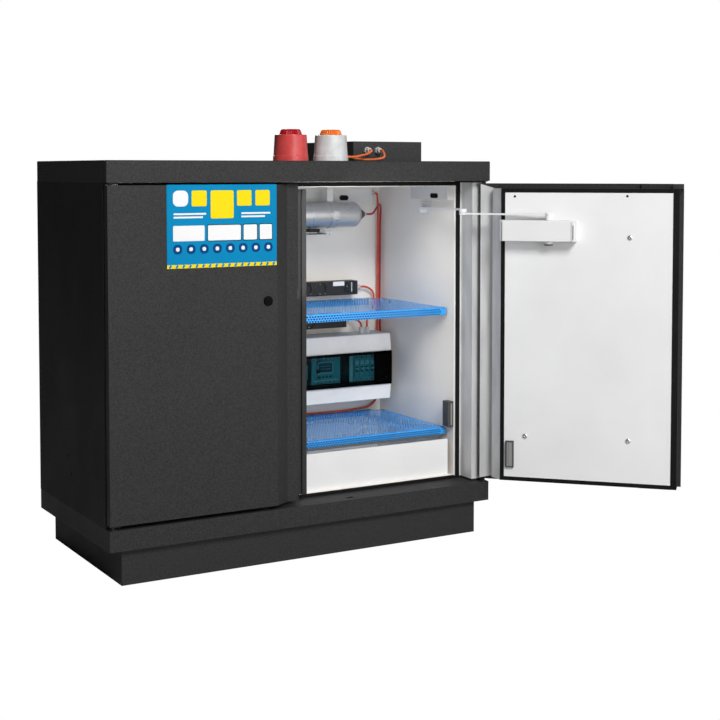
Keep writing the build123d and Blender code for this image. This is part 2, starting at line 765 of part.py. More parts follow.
def make_extinguisher():
    """The extinguisher bottle that lies under the ceiling, its straps and its release."""
    y, z = bottle_y, bottle_z
    side_view = Plane(origin=(0, y, z), x_dir=(1, 0, 0), z_dir=(0, -1, 0))
    left, right = bottle_right - bottle_length, bottle_right
    with BuildPart() as extinguisher:
        with BuildSketch(side_view):
            with BuildLine():
                base = Line((left, 0), (left, bottle_radius - bottle_shoulder))
                end_turn = RadiusArc(
                    base @ 1, (left + bottle_shoulder, bottle_radius), bottle_shoulder
                )
                wall = Line(end_turn @ 1, (right - bottle_shoulder, bottle_radius))
                shoulder = RadiusArc(
                    wall @ 1, (right, bottle_radius - bottle_shoulder), bottle_shoulder
                )
                Polyline(
                    shoulder @ 1,
                    (right, bottle_neck_radius),
                    (right + bottle_neck * 0.6, bottle_outlet_radius),
                    (right + bottle_neck, bottle_outlet_radius),
                    (right + bottle_neck, 0),
                    base @ 0,
                )
            make_face()
        revolve(axis=Axis((0, y, z), (1, 0, 0)))
    save(extinguisher.part, "extinguisher")

    with BuildPart() as straps:
        for share in strap_places:
            x = left + share * bottle_length
            outer = bottle_radius + strap_thickness
            with Locations(Location((x, y, z), (0, 90, 0))):
                Cylinder(outer, strap_width)
            x_range = (x - strap_width / 2, x + strap_width / 2)
            foot_y = (y - hanger_width / 2, y + hanger_width / 2)
            fill(x_range, (y - strap_thickness, y + strap_thickness), (z, cavity_ceiling))
            fill(x_range, foot_y, (cavity_ceiling - strap_thickness, cavity_ceiling))
        for share in strap_places:
            x = left + share * bottle_length
            with Locations(Location((x, y, z), (0, 90, 0))):
                Cylinder(bottle_radius + strap_thickness, strap_width)
                Cylinder(bottle_radius + gap / 3, strap_width, mode=Mode.SUBTRACT)
    save(straps.part, "bottle_straps")

    with BuildPart() as release:
        x = left + strap_places[1] * bottle_length
        z_top = z - bottle_radius - strap_thickness
        x_range = (x + strap_width / 2 - release_size[0], x + strap_width / 2)
        y_range = (y - release_size[1] / 2, y + release_size[1] / 2)
        fill(x_range, y_range, (z_top - release_size[2], z_top))
        fillet(release.edges().filter_by(Axis.Y), 3)
    save(release.part, "release_head")


def make_ducts():
    """The exhaust duct along the back and the supply vent on the right wall."""
    y_range = (cavity_back - duct_depth, cavity_back)
    z_range = (cavity_ceiling - duct_drop, cavity_ceiling)
    with BuildPart() as exhaust_duct:
        fill((-duct_half_length, duct_half_length), y_range, z_range)
        with BuildSketch(Plane(origin=(0, y_range[0], 0), x_dir=(1, 0, 0), z_dir=(0, -1, 0))):
            slot_z = z_range[0] + duct_slot_drop
            with Locations((duct_slot_offset, slot_z)):
                with GridLocations(duct_slot_pitch, 1, 5, 1):
                    SlotOverall(duct_slot[0], duct_slot[1])
        extrude(amount=-duct_slot[2], mode=Mode.SUBTRACT)
    save(exhaust_duct.part, "exhaust_duct")

    with BuildPart() as supply_vent:
        x_range = (cavity_half - vent_thickness, cavity_half)
        vent_z = (cavity_ceiling - vent_drop, cavity_ceiling)
        fill(x_range, (front + vent_range[0], front + vent_range[1]), vent_z)
        with BuildSketch(Plane(origin=(x_range[0], 0, 0), x_dir=(0, -1, 0), z_dir=(-1, 0, 0))):
            with Locations((-(front + vent_slot_from_front), vent_z[0] + duct_slot[1] / 2 + vent_slot_rise)):
                SlotOverall(vent_slot_length, duct_slot[1])
        extrude(amount=-duct_slot[2], mode=Mode.SUBTRACT)
    save(supply_vent.part, "supply_vent")


# ---------------------------------------------------------------- electrics
def facing_front(y):
    """A drawing plane that faces the front of the cabinet."""
    return Plane(origin=(0, y, 0), x_dir=(1, 0, 0), z_dir=(0, -1, 0))


def strip_sockets(right):
    """Places of a strip's sockets along X."""
    left = right - strip_length
    return [left + socket_from_left + socket_pitch * place for place in range(socket_count)]


def make_power_strips():
    """Two power strips on the back wall, their sockets and the upper strip's rocker."""
    strips = (
        ("upper_power_strip", upper_strip_right, upper_strip_bottom),
        ("lower_power_strip", lower_strip_right, lower_strip_bottom),
    )
    for name, right, bottom in strips:
        middle = bottom + strip_height / 2
        with BuildPart() as strip:
            fill((right - strip_length, right), (strip_face, cavity_back), (bottom, bottom + strip_height))
            fillet(strip.faces().sort_by(Axis.Y)[0].edges().filter_by(Axis.X), strip_edge)
            with BuildSketch(facing_front(strip_face)):
                with Locations(*[(x, middle) for x in strip_sockets(right)]):
                    Circle(socket_radius)
            extrude(amount=-socket_depth, mode=Mode.SUBTRACT)
            if name == "upper_power_strip":
                with BuildSketch(facing_front(strip_face)):
                    with Locations((right - rocker_from_right, middle)):
                        Rectangle(rocker_size[0] + 1, rocker_size[1] + 2)
                extrude(amount=-rocker_depth - rocker_proud, mode=Mode.SUBTRACT)
        save(strip.part, name)

    with BuildPart() as power_sockets:
        for name, right, bottom in strips:
            middle = bottom + strip_height / 2
            with BuildSketch(facing_front(strip_face + socket_depth)):
                with Locations(*[(x, middle) for x in strip_sockets(right)]):
                    Circle(socket_radius)
            extrude(amount=socket_depth)
            with BuildSketch(facing_front(strip_face)):
                with Locations(*[(x, middle) for x in strip_sockets(right)]):
                    Circle(socket_well_radius)
            extrude(amount=-socket_well, mode=Mode.SUBTRACT)
    save(power_sockets.part, "power_sockets")

    x = upper_strip_right - rocker_from_right
    z = upper_strip_bottom + strip_height / 2
    from_side = Plane(origin=(x - rocker_size[0] / 2, strip_face, z), x_dir=(0, 1, 0), z_dir=(1, 0, 0))
    reach = rocker_size[1] / 2 * 0.95
    with BuildPart() as rocker:
        with BuildSketch(from_side):
            with BuildLine():
                Polyline(
                    (rocker_depth * 0.55, reach),
                    (rocker_depth, 0),
                    (rocker_depth * 0.55, -reach),
                    (-0.2, -reach),
                    (-rocker_proud * 0.45, 0),
                    (-rocker_proud, reach),
                    close=True,
                )
            make_face()
        extrude(amount=rocker_size[0])
        with Locations(Location((x, strip_face, z), (0, 90, 0))):
            Cylinder(rocker_pivot_radius, rocker_size[0], mode=Mode.SUBTRACT)
    save(rocker.part, "strip_rocker")


def make_distribution_box():
    """The distribution box: base, leaning cover, full-width hinged window and the modules inside."""
    base_front = box_face + box_cover_depth
    seat = box_face + window_proud
    lean_face = seat + cover_lean
    x_range, z_range = (box_left, box_right), (box_bottom, box_top)
    with BuildPart() as base:
        fill(x_range, (base_front, cavity_back), z_range)
        fillet(base.edges().filter_by(Axis.Y), box_edge)
        offset(amount=-box_wall, openings=base.faces().sort_by(Axis.Y)[0])
        with Locations(Location((box_right, sensor_y, sensor_z), (0, 90, 0))):
            Cylinder(cable_radius, 4 * box_wall, mode=Mode.SUBTRACT)
    save(base.part, "distribution_base")

    with BuildPart() as cover:
        for inset, mode in ((0.0, Mode.ADD), (box_wall, Mode.SUBTRACT)):
            with BuildSketch(Plane(origin=(box_left + inset, 0, 0), x_dir=(0, 1, 0), z_dir=(1, 0, 0))):
                with BuildLine():
                    Polyline(
                        (base_front, box_bottom + inset),
                        (lean_face + inset, box_bottom + inset),
                        (seat + inset, window_bottom),
                        (seat + inset, window_top),
                        (lean_face + inset, box_top - inset),
                        (base_front, box_top - inset),
                        close=True,
                    )
                make_face()
            extrude(amount=box_width - 2 * inset, mode=mode)
            if mode == Mode.ADD:
                fillet(cover.edges().filter_by(Axis.X).group_by(Axis.Z)[0].sort_by(Axis.Y)[0], box_edge)
                fillet(cover.edges().filter_by(Axis.X).group_by(Axis.Z)[-1].sort_by(Axis.Y)[0], box_edge)
        recess_z = (window_bottom - window_gap, window_top + window_gap)
        pocket_back = box_face + window_thickness + window_gap
        ledge_z = (recess_z[0] - box_wall, recess_z[1] + box_wall)
        fill(x_range, (seat + box_wall, pocket_back + box_wall), ledge_z)
        fill(x_range, (box_face, pocket_back), recess_z, mode=Mode.SUBTRACT)
        opening_x = (box_left + window_frame[0], box_right - window_frame[0])
        opening_z = (window_bottom + window_frame[1], window_top - window_frame[1])
        fill(opening_x, (box_face, base_front), opening_z, mode=Mode.SUBTRACT)
    save(cover.part, "distribution_cover")

    with BuildPart() as window:
        fill(x_range, (box_face, box_face + window_thickness), (window_bottom, window_axis_z))
        with Locations(Location(((box_left + box_right) / 2, window_axis_y, window_axis_z), (0, 90, 0))):
            Cylinder(hinge_rod_radius, box_width)
        pull_x = ((box_left + box_right - pull_length) / 2, (box_left + box_right + pull_length) / 2)
        fill(pull_x, (box_face - pull_proud, box_face), (window_bottom, window_bottom + pull_height))
    save(window.part, "distribution_window")

    with BuildPart() as modules:
        for start, count in module_groups:
            x_start = row_left + (start - row_start_module) * module
            with BuildSketch(Plane(origin=(x_start, 0, 0), x_dir=(0, 1, 0), z_dir=(1, 0, 0))):
                with BuildLine():
                    shoulder = nose_face + nose_depth
                    heel = nose_face + module_depth
                    Polyline(
                        (nose_face, row_middle - nose_height / 2),
                        (nose_face, row_middle + nose_height / 2),
                        (shoulder, row_middle + nose_height / 2),
                        (shoulder, row_middle + module_height / 2),
                        (heel, row_middle + module_height / 2),
                        (heel, row_middle - module_height / 2),
                        (shoulder, row_middle - module_height / 2),
                        (shoulder, row_middle - nose_height / 2),
                        close=True,
                    )
                make_face()
            extrude(amount=count * module - gap)
        for centre in toggle_places():
            with Locations((centre, nose_face + toggle_radius * 0.35, row_middle)):
                Box(toggle_width + 1, 3 * toggle_radius, 2.6 * toggle_radius, mode=Mode.SUBTRACT)
    save(modules.part, "breaker_row")

    with BuildPart() as rail:
        y_low = nose_face + module_depth + gap
        rail_x = (box_left + box_wall + 8, box_right - box_wall - 8)
        fill(rail_x, (y_low, y_low + 1), (row_middle - rail_height / 2, row_middle + rail_height / 2))
        for low in (row_middle - rail_height / 2 + 4, row_middle + rail_height / 2 - 5):
            fill(rail_x, (y_low, cavity_back - box_wall), (low, low + 1))
    save(rail.part, "din_rail")

    for centre, name in zip(toggle_places(), ("main_switch_toggle", "breaker_toggle")):
        tilt = toggle_swing / 2
        with BuildPart() as toggle:
            with Locations(Location((centre, nose_face + 1, row_middle), (0, 90, 0))):
                Cylinder(toggle_radius, toggle_width)
            side = Plane(
                origin=(centre - toggle_width / 2, nose_face + 1, row_middle),
                x_dir=(0, -cos(radians(tilt)), sin(radians(tilt))),
                z_dir=(-1, 0, 0),
            )
            with BuildSketch(side):
                with Locations((toggle_reach / 2, 0)):
                    Rectangle(toggle_reach, toggle_radius * 0.7)
            extrude(amount=-toggle_width)
        save(toggle.part, name)


def toggle_places():
    """Middle of each toggle along X: one on the main switch, one on the first breaker."""
    return (row_left + 2 * module, row_left + 6 * module)


# ---------------------------------------------------------------- glands and cables
def make_gland(centre, direction, radius=gland_radius, length=gland_length):
    """A cable gland standing on a wall: a nut, a collar and a bore for the cable."""
    plane = Plane(origin=centre, z_dir=direction)
    nut = radius * gland_nut_radius / gland_radius
    with BuildPart() as gland:
        with BuildSketch(plane):
            RegularPolygon(nut, 6)
        extrude(amount=length * 0.4)
        with BuildSketch(plane.offset(length * 0.4)):
            Circle(radius * 0.85)
        extrude(amount=length * 0.6)
        chamfer(gland.edges().filter_by(GeomType.CIRCLE).group_by(SortBy.LENGTH)[-1][-1], radius * 0.12)
    return gland.part


def make_cable(points, radius=cable_radius):
    """A cable of straight runs joined by arcs as large as its runs allow."""
    corners = [Vector(*point) for point in points]
    radii = []
    for before, corner, after in zip(corners, corners[1:], corners[2:]):
        run_in, run_out = corner - before, after - corner
        turn = radians(run_in.get_angle(run_out))
        radii.append(cable_bend * min(run_in.length, run_out.length) / tan(turn / 2))
    with BuildPart() as cable:
        with BuildLine() as path:
            FilletPolyline(*points, radius=radii)
        route = path.wires()[0]
        with BuildSketch(Plane(origin=route @ 0, z_dir=route % 0)) as section:
            Circle(radius)
        sweep(section.sketch, path=route)
    swept = cable.part.volume / (pi * radius**2)
    print("cable radii", [round(value, 1) for value in radii])
    print("cable length", round(route.length, 1), "length by volume", round(swept, 1))
    return cable.part


def from_corner(from_right, from_back, z):
    """A point given from the cavity's right wall and back wall."""
    return (cavity_half - from_right, cavity_back - from_back, z)


def make_electrics():
    """Glands and the cables that run between them."""
    y_strip = cavity_back - strip_depth / 2
    strip_middle = {"upper": upper_strip_bottom + strip_height / 2, "lower": lower_strip_bottom + strip_height / 2}
    box_gland_y = cavity_back - box_glands_from_back
    first_gland, second_gland = (box_right - distance for distance in box_glands_from_right)
    places = {
        "upper_strip": ((upper_strip_right, y_strip, strip_middle["upper"]), (1, 0, 0)),
        "lower_strip": ((lower_strip_right, y_strip, strip_middle["lower"]), (1, 0, 0)),
        "lower_strip_feed": ((lower_strip_right - strip_length, y_strip, strip_middle["lower"]), (-1, 0, 0)),
        "box_first": ((first_gland, box_gland_y, box_top), (0, 0, 1)),
        "box_second": ((second_gland, box_gland_y, box_top), (0, 0, 1)),
        "duct": ((duct_half_length, cavity_back - duct_depth / 2, cavity_ceiling - duct_drop / 2), (1, 0, 0)),
    }
    for number, place in enumerate(control_gland_places):
        centre = (control_left + place, front + control_front, height + control_gland_height)
        places[f"control_{number}"] = (centre, (0, -1, 0))

    def leaving(name, distance=0.0):
        """A point on a gland's axis, this far beyond its outer face."""
        centre, direction = places[name]
        return tuple(c + (gland_length + distance) * d for c, d in zip(centre, direction))

    with BuildPart() as glands:
        for centre, direction in places.values():
            add(make_gland(centre, direction))
    save(glands.part, "cable_glands")

    outlet = (bottle_right + bottle_neck, bottle_y, bottle_z)
    sensor = make_cable(
        [
            outlet,
            (outlet[0] + 26, outlet[1], outlet[2]),
            (outlet[0] + 66, outlet[1] + 30, outlet[2] + 30),
            from_corner(13, 28, outlet[2] + 27),
            from_corner(7, 13, outlet[2] - 30),
            from_corner(8, 11, upper_shelf_top - 29),
            (cavity_half - 7, sensor_y, sensor_z),
            (box_right - sensor_inside, sensor_y, sensor_z),
        ]
    )
    with BuildPart() as sensor_cable:
        add(sensor)
    save(sensor_cable.part, "sensor_cable")

    tip = leaving("duct")
    feed_tip = leaving("lower_strip_feed")
    shelf_line = lower_shelf_top + cable_radius + 1.5
    feed = make_cable(
        [
            tip,
            leaving("duct", 14.0),
            from_corner(17, 17, tip[2] - 42),
            from_corner(16, 13, tip[2] - 150),
            from_corner(16, 12, upper_shelf_top - 69),
            from_corner(16, 13, box_bottom + 51),
            from_corner(17, 11, box_bottom - 15),
            from_corner(48, 12, shelf_line + 4),
            from_corner(130, 15, shelf_line),
            from_corner(420, 13, shelf_line + 0.5),
            (feed_tip[0] + 40, cavity_back - 14, shelf_line),
            (feed_tip[0] - 25, cavity_back - 17, shelf_line + 22),
            (feed_tip[0] - 44, cavity_back - 21, shelf_line + 110),
            (feed_tip[0] - 42, feed_tip[1] + 1, feed_tip[2] - 45),
            leaving("lower_strip_feed", 26.0),
            feed_tip,
        ]
    )
    second_tip = leaving("box_second")
    upper_link = make_cable(
        [
            leaving("upper_strip"),
            leaving("upper_strip", 24.0),
            from_corner(34, 17, upper_shelf_top + 22),
            from_corner(31, 16, upper_shelf_top - 32),
            (second_tip[0] + 12, second_tip[1] + 14, second_tip[2] + 38),
            leaving("box_second", 16.0),
            second_tip,
        ]
    )
    first_tip, lower_tip = leaving("box_first"), leaving("lower_strip")
    lower_link = make_cable(
        [
            lower_tip,
            leaving("lower_strip", 11.0),
            (first_tip[0] - 4, first_tip[1] + 14, lower_tip[2] - 2),
            leaving("box_first", 9.0),
            first_tip,
        ]
    )
    with BuildPart() as power_cables:
        add(feed)
        add(upper_link)
        add(lower_link)
    save(power_cables.part, "power_cables")

    near_tip, far_tip = leaving("control_0"), leaving("control_1")
    beacon_side = white_beacon_x + beacon_gland_reach
    beacon_y = front + beacon_from_front
    beacon_z = height + beacon_gland_height
    near = make_cable(
        [
            near_tip,
            leaving("control_0", 14.0),
            (near_tip[0] - 18, near_tip[1] - 20, near_tip[2] - 11),
            (beacon_side + 16, beacon_y - beacon_gland_shift, beacon_z),
            (beacon_side, beacon_y - beacon_gland_shift, beacon_z),
        ]
    )
    far = make_cable(
        [
            far_tip,
            leaving("control_1", 14.0),
            (far_tip[0] + 3, far_tip[1] - 24, height + 12),
            (far_tip[0] - 26, far_tip[1] - 18, height + 6),
            (far_tip[0] - 60, far_tip[1] + 6, height + 5),
            (beacon_side + 18, beacon_y + beacon_gland_shift, beacon_z),
            (beacon_side, beacon_y + beacon_gland_shift, beacon_z),
        ]
    )
    with BuildPart() as beacon_cables:
        add(near)
        add(far)
    save(beacon_cables.part, "beacon_cables")


# ---------------------------------------------------------------- on the lid
def make_beacon(name, lens_name, x, glands):
    """A sounder beacon: a round base with a tapering housing and a low lens on top."""
    y = front + beacon_from_front
    section = Plane(origin=(x, y, height), x_dir=(1, 0, 0), z_dir=(0, -1, 0))
    with BuildPart() as body:
        with BuildSketch(section):
            with BuildLine():
                Polyline(
                    (0, 0),
                    (beacon_base_radius - 1, 0),
                    (beacon_base_radius, beacon_base_height),
                    (beacon_foot_radius, beacon_base_height + 2),
                    (beacon_top_radius + 1, beacon_height - 3),
                    (beacon_top_radius - 2, beacon_height),
                    (0, beacon_height),
                    close=True,
                )
            make_face()
        revolve(axis=Axis((x, y, 0), (0, 0, 1)))
        if glands:
            for shift in (-beacon_gland_shift, beacon_gland_shift):
                foot = x + (beacon_base_radius**2 - shift**2) ** 0.5 - 4
                tip = x + beacon_gland_reach
                middle = ((foot + tip) / 2, y + shift, height + beacon_gland_height)
                with Locations(Location(middle, (0, 90, 0))):
                    Cylinder(beacon_gland_radius, tip - foot)
    save(body.part, name)

    with BuildPart() as lens:
        with BuildSketch(section.offset(0)):
            with BuildLine():
                low = beacon_height
                Polyline(
                    (0, low),
                    (lens_radius, low),
                    (lens_top_radius + lens_bevel / 2, low + lens_height - lens_bevel),
                    (lens_top_radius - lens_bevel / 2, low + lens_height),
                    (0, low + lens_height),
                    close=True,
                )
            make_face()
        revolve(axis=Axis((x, y, 0), (0, 0, 1)))
    save(lens.part, lens_name)


def make_control_box():
    """The control box at the back right of the lid."""
    x_range = (control_left, control_left + control_width)
    y_range = (front + control_front, front + control_front + control_depth)
    with BuildPart() as control_box:
        fill(x_range, y_range, (height, height + control_height))
        fillet(control_box.edges().filter_by(Axis.Z), control_edge)
        fillet(control_box.faces().sort_by(Axis.Z)[-1].edges(), control_edge / 2)
    save(control_box.part, "control_box")


make_plinth()
make_base_frame()
make_lid()
make_walls()
make_skins()
make_liners()
make_frame_seal()
make_hinge_bushes()
for door in ("left", "right"):
    make_door_pan(door)
    make_door_core(door)
    make_door_lining(door)
    make_lock(door)
    make_closer(door)
    make_door_plate(door)
make_closer_shoes()
make_switches()
make_shelf("upper_shelf", upper_shelf_top, upper_lip)
make_shelf("lower_shelf", lower_shelf_top, lower_lip)
make_shelf_clips()
make_sump_tray()
make_extinguisher()
make_ducts()
make_power_strips()
make_distribution_box()
make_electrics()
make_beacon("red_beacon_body", "red_beacon_lens", red_beacon_x, glands=False)
make_beacon("white_beacon_body", "amber_beacon_lens", white_beacon_x, glands=True)
make_control_box()
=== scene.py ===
"""Finishes and fine detail for the fire-rated battery cabinet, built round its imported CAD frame.

Everything is in metres in the CAD frame: X runs along the front, Y from front to back, Z up from the floor.
"""

import json
import math

import bmesh
import bpy
from mathutils import Matrix, Vector


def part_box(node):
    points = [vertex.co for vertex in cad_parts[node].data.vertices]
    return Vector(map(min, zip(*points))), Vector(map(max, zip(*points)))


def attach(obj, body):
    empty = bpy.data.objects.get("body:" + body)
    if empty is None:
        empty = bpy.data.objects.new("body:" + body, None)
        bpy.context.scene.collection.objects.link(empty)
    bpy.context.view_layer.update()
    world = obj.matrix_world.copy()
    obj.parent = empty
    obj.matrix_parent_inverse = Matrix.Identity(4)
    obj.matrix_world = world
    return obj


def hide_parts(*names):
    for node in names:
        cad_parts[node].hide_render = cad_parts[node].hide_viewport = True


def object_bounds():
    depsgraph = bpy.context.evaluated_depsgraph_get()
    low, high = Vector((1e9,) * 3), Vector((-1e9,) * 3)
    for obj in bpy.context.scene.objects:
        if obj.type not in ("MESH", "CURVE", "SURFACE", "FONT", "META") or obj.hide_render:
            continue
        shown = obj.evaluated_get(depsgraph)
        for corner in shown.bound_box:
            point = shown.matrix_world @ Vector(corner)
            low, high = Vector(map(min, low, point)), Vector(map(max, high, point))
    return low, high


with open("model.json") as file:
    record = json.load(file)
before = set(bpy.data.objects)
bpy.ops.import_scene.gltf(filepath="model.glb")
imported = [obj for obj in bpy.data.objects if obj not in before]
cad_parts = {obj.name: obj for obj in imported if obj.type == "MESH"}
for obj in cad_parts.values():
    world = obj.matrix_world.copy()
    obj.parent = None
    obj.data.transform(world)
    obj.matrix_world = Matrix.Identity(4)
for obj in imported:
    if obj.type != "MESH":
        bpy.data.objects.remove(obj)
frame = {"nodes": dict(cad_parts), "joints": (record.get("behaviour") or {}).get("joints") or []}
cad_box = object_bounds()
nodes = frame["nodes"]

# ------------------------------------------------------------
# Camera, light and floor
# ------------------------------------------------------------

CAMERA_PLACE = (-1.8375, -3.7269, 1.085)
CAMERA_TILT = 3.0  # degrees below the horizon
CAMERA_TURN = -30.11
CAMERA_LENS = 70.6
CAMERA_SHIFT = (-0.0024, -0.1614)

LEFT, FRONT, FLOOR = cad_box[0]
RIGHT, BACK, TOP = cad_box[1]


def make_camera():
    """The photographer's view: level with the lid, from the left of the front, with a shifted long lens."""
    data = bpy.data.cameras.new("camera")
    data.lens = CAMERA_LENS
    data.shift_x, data.shift_y = CAMERA_SHIFT
    camera = bpy.data.objects.new("camera", data)
    camera.location = CAMERA_PLACE
    camera.rotation_euler = (math.radians(90 - CAMERA_TILT), 0, math.radians(CAMERA_TURN))
    bpy.context.scene.collection.objects.link(camera)
    bpy.context.scene.camera = camera


def area_light(name, place, target, size, power, shines=True, lights=True):
    """A square soft box of the given side, aimed at a point; it can leave no highlight, or nothing else."""
    data = bpy.data.lights.new(name, "AREA")
    data.size = size
    data.energy = power
    light = bpy.data.objects.new(name, data)
    light.location = place
    aim = Vector(target) - Vector(place)
    light.rotation_euler = aim.to_track_quat("-Z", "Y").to_euler()
    light.visible_camera = False
    light.visible_glossy = shines
    light.visible_diffuse = lights
    bpy.context.scene.collection.objects.link(light)


def add_node(tree, kind, inputs=None, **settings):
    """One shader node, with its settings, plain input values and links."""
    made = tree.nodes.new(kind)
    for key, value in settings.items():
        setattr(made, key, value)
    for key, value in (inputs or {}).items():
        if isinstance(value, bpy.types.NodeSocket):
            tree.links.new(value, made.inputs[key])
        else:
            made.inputs[key].default_value = value
    return made


def make_world():
    """White behind the object for the camera, and a dimmer grey as fill light."""
    world = bpy.data.worlds.new("studio")
    world.use_nodes = True
    tree = world.node_tree
    tree.nodes.clear()
    rays = add_node(tree, "ShaderNodeLightPath").outputs
    plain = add_node(tree, "ShaderNodeMath", {0: rays["Is Camera Ray"], 1: rays["Is Transmission Ray"]},
                     operation="MAXIMUM").outputs[0]
    fill = add_node(tree, "ShaderNodeBackground", {"Color": (1, 1, 1, 1), "Strength": 0.09})
    seen = add_node(tree, "ShaderNodeBackground", {"Color": (1, 1, 1, 1), "Strength": 1.0})
    both = add_node(tree, "ShaderNodeMixShader", {0: plain, 1: fill.outputs[0], 2: seen.outputs[0]})
    add_node(tree, "ShaderNodeOutputWorld", {"Surface": both.outputs[0]})
    bpy.context.scene.world = world


def make_floor():
    """A white floor that reads as paper for the camera and still bounces light up."""
    mesh = bpy.data.meshes.new("floor")
    reach = 12.0
    corners = [(-reach, -reach, 0), (reach, -reach, 0), (reach, reach, 0), (-reach, reach, 0)]
    mesh.from_pydata(corners, [], [(0, 1, 2, 3)])
    floor = bpy.data.objects.new("floor", mesh)
    floor.location.z = FLOOR - 0.0005
    bpy.context.scene.collection.objects.link(floor)
    paper = bpy.data.materials.new("paper")
    paper.use_nodes = True
    tree = paper.node_tree
    tree.nodes.clear()
    matt = add_node(tree, "ShaderNodeBsdfDiffuse", {"Color": (0.45, 0.45, 0.45, 1)})
    white = add_node(tree, "ShaderNodeEmission", {"Color": (1, 1, 1, 1), "Strength": 1.0})
    camera_ray = add_node(tree, "ShaderNodeLightPath").outputs["Is Camera Ray"]
    both = add_node(tree, "ShaderNodeMixShader", {0: camera_ray, 1: matt.outputs[0], 2: white.outputs[0]})
    add_node(tree, "ShaderNodeOutputMaterial", {"Surface": both.outputs[0]})
    mesh.materials.append(paper)


bpy.context.scene.view_settings.view_transform = "Standard"
make_camera()
make_world()
make_floor()
area_light("key", (-0.45, -4.5, 3.7), (0.15, 0.0, 0.5), 1.6, 225)
area_light("front", (0.5, -5.0, 1.0), (0.2, 0.0, 0.5), 2.4, 62)
area_light("inside_high", (0.10, -0.33, 0.88), (0.40, 0.2, 0.84), 0.30, 0.75, False)
area_light("wall_high", (0.40, -0.15, 0.78), (0.5535, -0.13, 0.78), 0.26, 0.10, False)
area_light("wall_low", (0.40, -0.15, 0.46), (0.5535, -0.13, 0.44), 0.26, 0.14, False)
area_light("reflector", (1.35, -1.75, 1.0), (0.30, 0.09, 0.945), 1.6, 12, True, False)
area_light("back", (1.4, 4.4, 2.4), (0.0, 0.2, 0.5), 1.8, 90)

# ------------------------------------------------------------
# Materials
# ------------------------------------------------------------


class Finish:
    """A material in the making: its shader and the patterns that feed it, in object metres."""

    def __init__(self, name, roughness=0.5, metallic=0.0, **sockets):
        self.material = bpy.data.materials.new(name)
        self.material.use_nodes = True
        self.tree = self.material.node_tree
        self.shader = self.tree.nodes["Principled BSDF"]
        self.place = self.node("ShaderNodeTexCoord").outputs["Object"]
        self.put("Roughness", roughness)
        self.put("Metallic", metallic)
        for socket, value in sockets.items():
            self.put(socket.replace("_", " "), value)

    def node(self, kind, inputs=None, **settings):
        return add_node(self.tree, kind, inputs, **settings)

    def put(self, socket, value):
        """A plain value or another node's output into one socket of the shader."""
        if isinstance(value, bpy.types.NodeSocket):
            self.tree.links.new(value, self.shader.inputs[socket])
        else:
            self.shader.inputs[socket].default_value = value

    def stretched(self, scale):
        """Object places scaled by axis, for patterns that run one way."""
        return self.node("ShaderNodeMapping", {"Vector": self.place, "Scale": scale}).outputs[0]

    def noise(self, size, detail=3.0, place=None):
        """Cloudy noise whose features are about size metres across."""
        inputs = {"Vector": place or self.place, "Scale": 1 / size, "Detail": detail}
        return self.node("ShaderNodeTexNoise", inputs).outputs["Fac"]

    def ranged(self, factor, low, high):
        """Noise about its middle, spread from low to high."""
        inputs = {"Value": factor, "From Min": 0.3, "From Max": 0.7, "To Min": low, "To Max": high}
        return self.node("ShaderNodeMapRange", inputs).outputs["Result"]

    def mixed(self, factor, first, second):
        """The colour between two others at factor."""
        mix = self.node("ShaderNodeMix", data_type="RGBA")
        for index, value in ((0, factor), (6, first), (7, second)):
            if isinstance(value, bpy.types.NodeSocket):
                self.tree.links.new(value, mix.inputs[index])
            else:
                mix.inputs[index].default_value = value
        return mix.outputs[2]

    def relief(self, *layers, edge=0.0):
        """Bumps from (height, depth in metres, strength) layers, over edges rounded by edge metres."""
        normal = None
        if edge:
            normal = self.node("ShaderNodeBevel", {"Radius": edge}, samples=4).outputs[0]
        for height, depth, strength in layers:
            inputs = {"Height": height, "Distance": depth, "Strength": strength}
            if normal:
                inputs["Normal"] = normal
            normal = self.node("ShaderNodeBump", inputs).outputs[0]
        self.put("Normal", normal)


def shade(colour, factor):
    """An RGBA colour made darker or lighter."""
    return tuple(min(1.0, part * factor) for part in colour[:3]) + (1,)


def powder_coat(name, colour, grain=0.0026, contrast=0.45, roughness=0.55, edge=0.0012, sheen=0.2):
    """Textured powder coat: fine grain in colour and relief, with a broad drift in its gloss."""
    finish = Finish(name, roughness, Specular_IOR_Level=sheen)
    grains = finish.noise(grain, 2.0)
    fine = finish.noise(grain * 0.45, 1.0)
    speck = finish.ranged(grains, 0.0, 1.0)
    low, high = shade(colour, 1 - contrast), shade(colour, 1 + contrast)
    finish.put("Base Color", finish.mixed(speck, low, high))
    finish.put("Roughness", finish.ranged(finish.noise(0.25, 4.0), roughness - 0.05, roughness + 0.07))
    finish.relief((grains, 0.0004, 0.5), (fine, 0.0002, 0.35), edge=edge)
    return finish.material


def smooth_paint(name, colour, roughness=0.35, drift=0.03, edge=0.001, sheen=0.5):
    """Smooth stoved paint or moulded plastic with faint orange peel and a broad drift in tone."""
    finish = Finish(name, roughness, Specular_IOR_Level=sheen)
    cloud = finish.ranged(finish.noise(0.18, 3.0), 0.0, 1.0)
    finish.put("Base Color", finish.mixed(cloud, shade(colour, 1 - drift), shade(colour, 1 + drift)))
    finish.put("Roughness", finish.ranged(finish.noise(0.07, 3.0), roughness - 0.04, roughness + 0.06))
    peel = finish.noise(0.004, 2.0)
    finish.relief((peel, 0.0002, 0.12), edge=edge)
    return finish.material


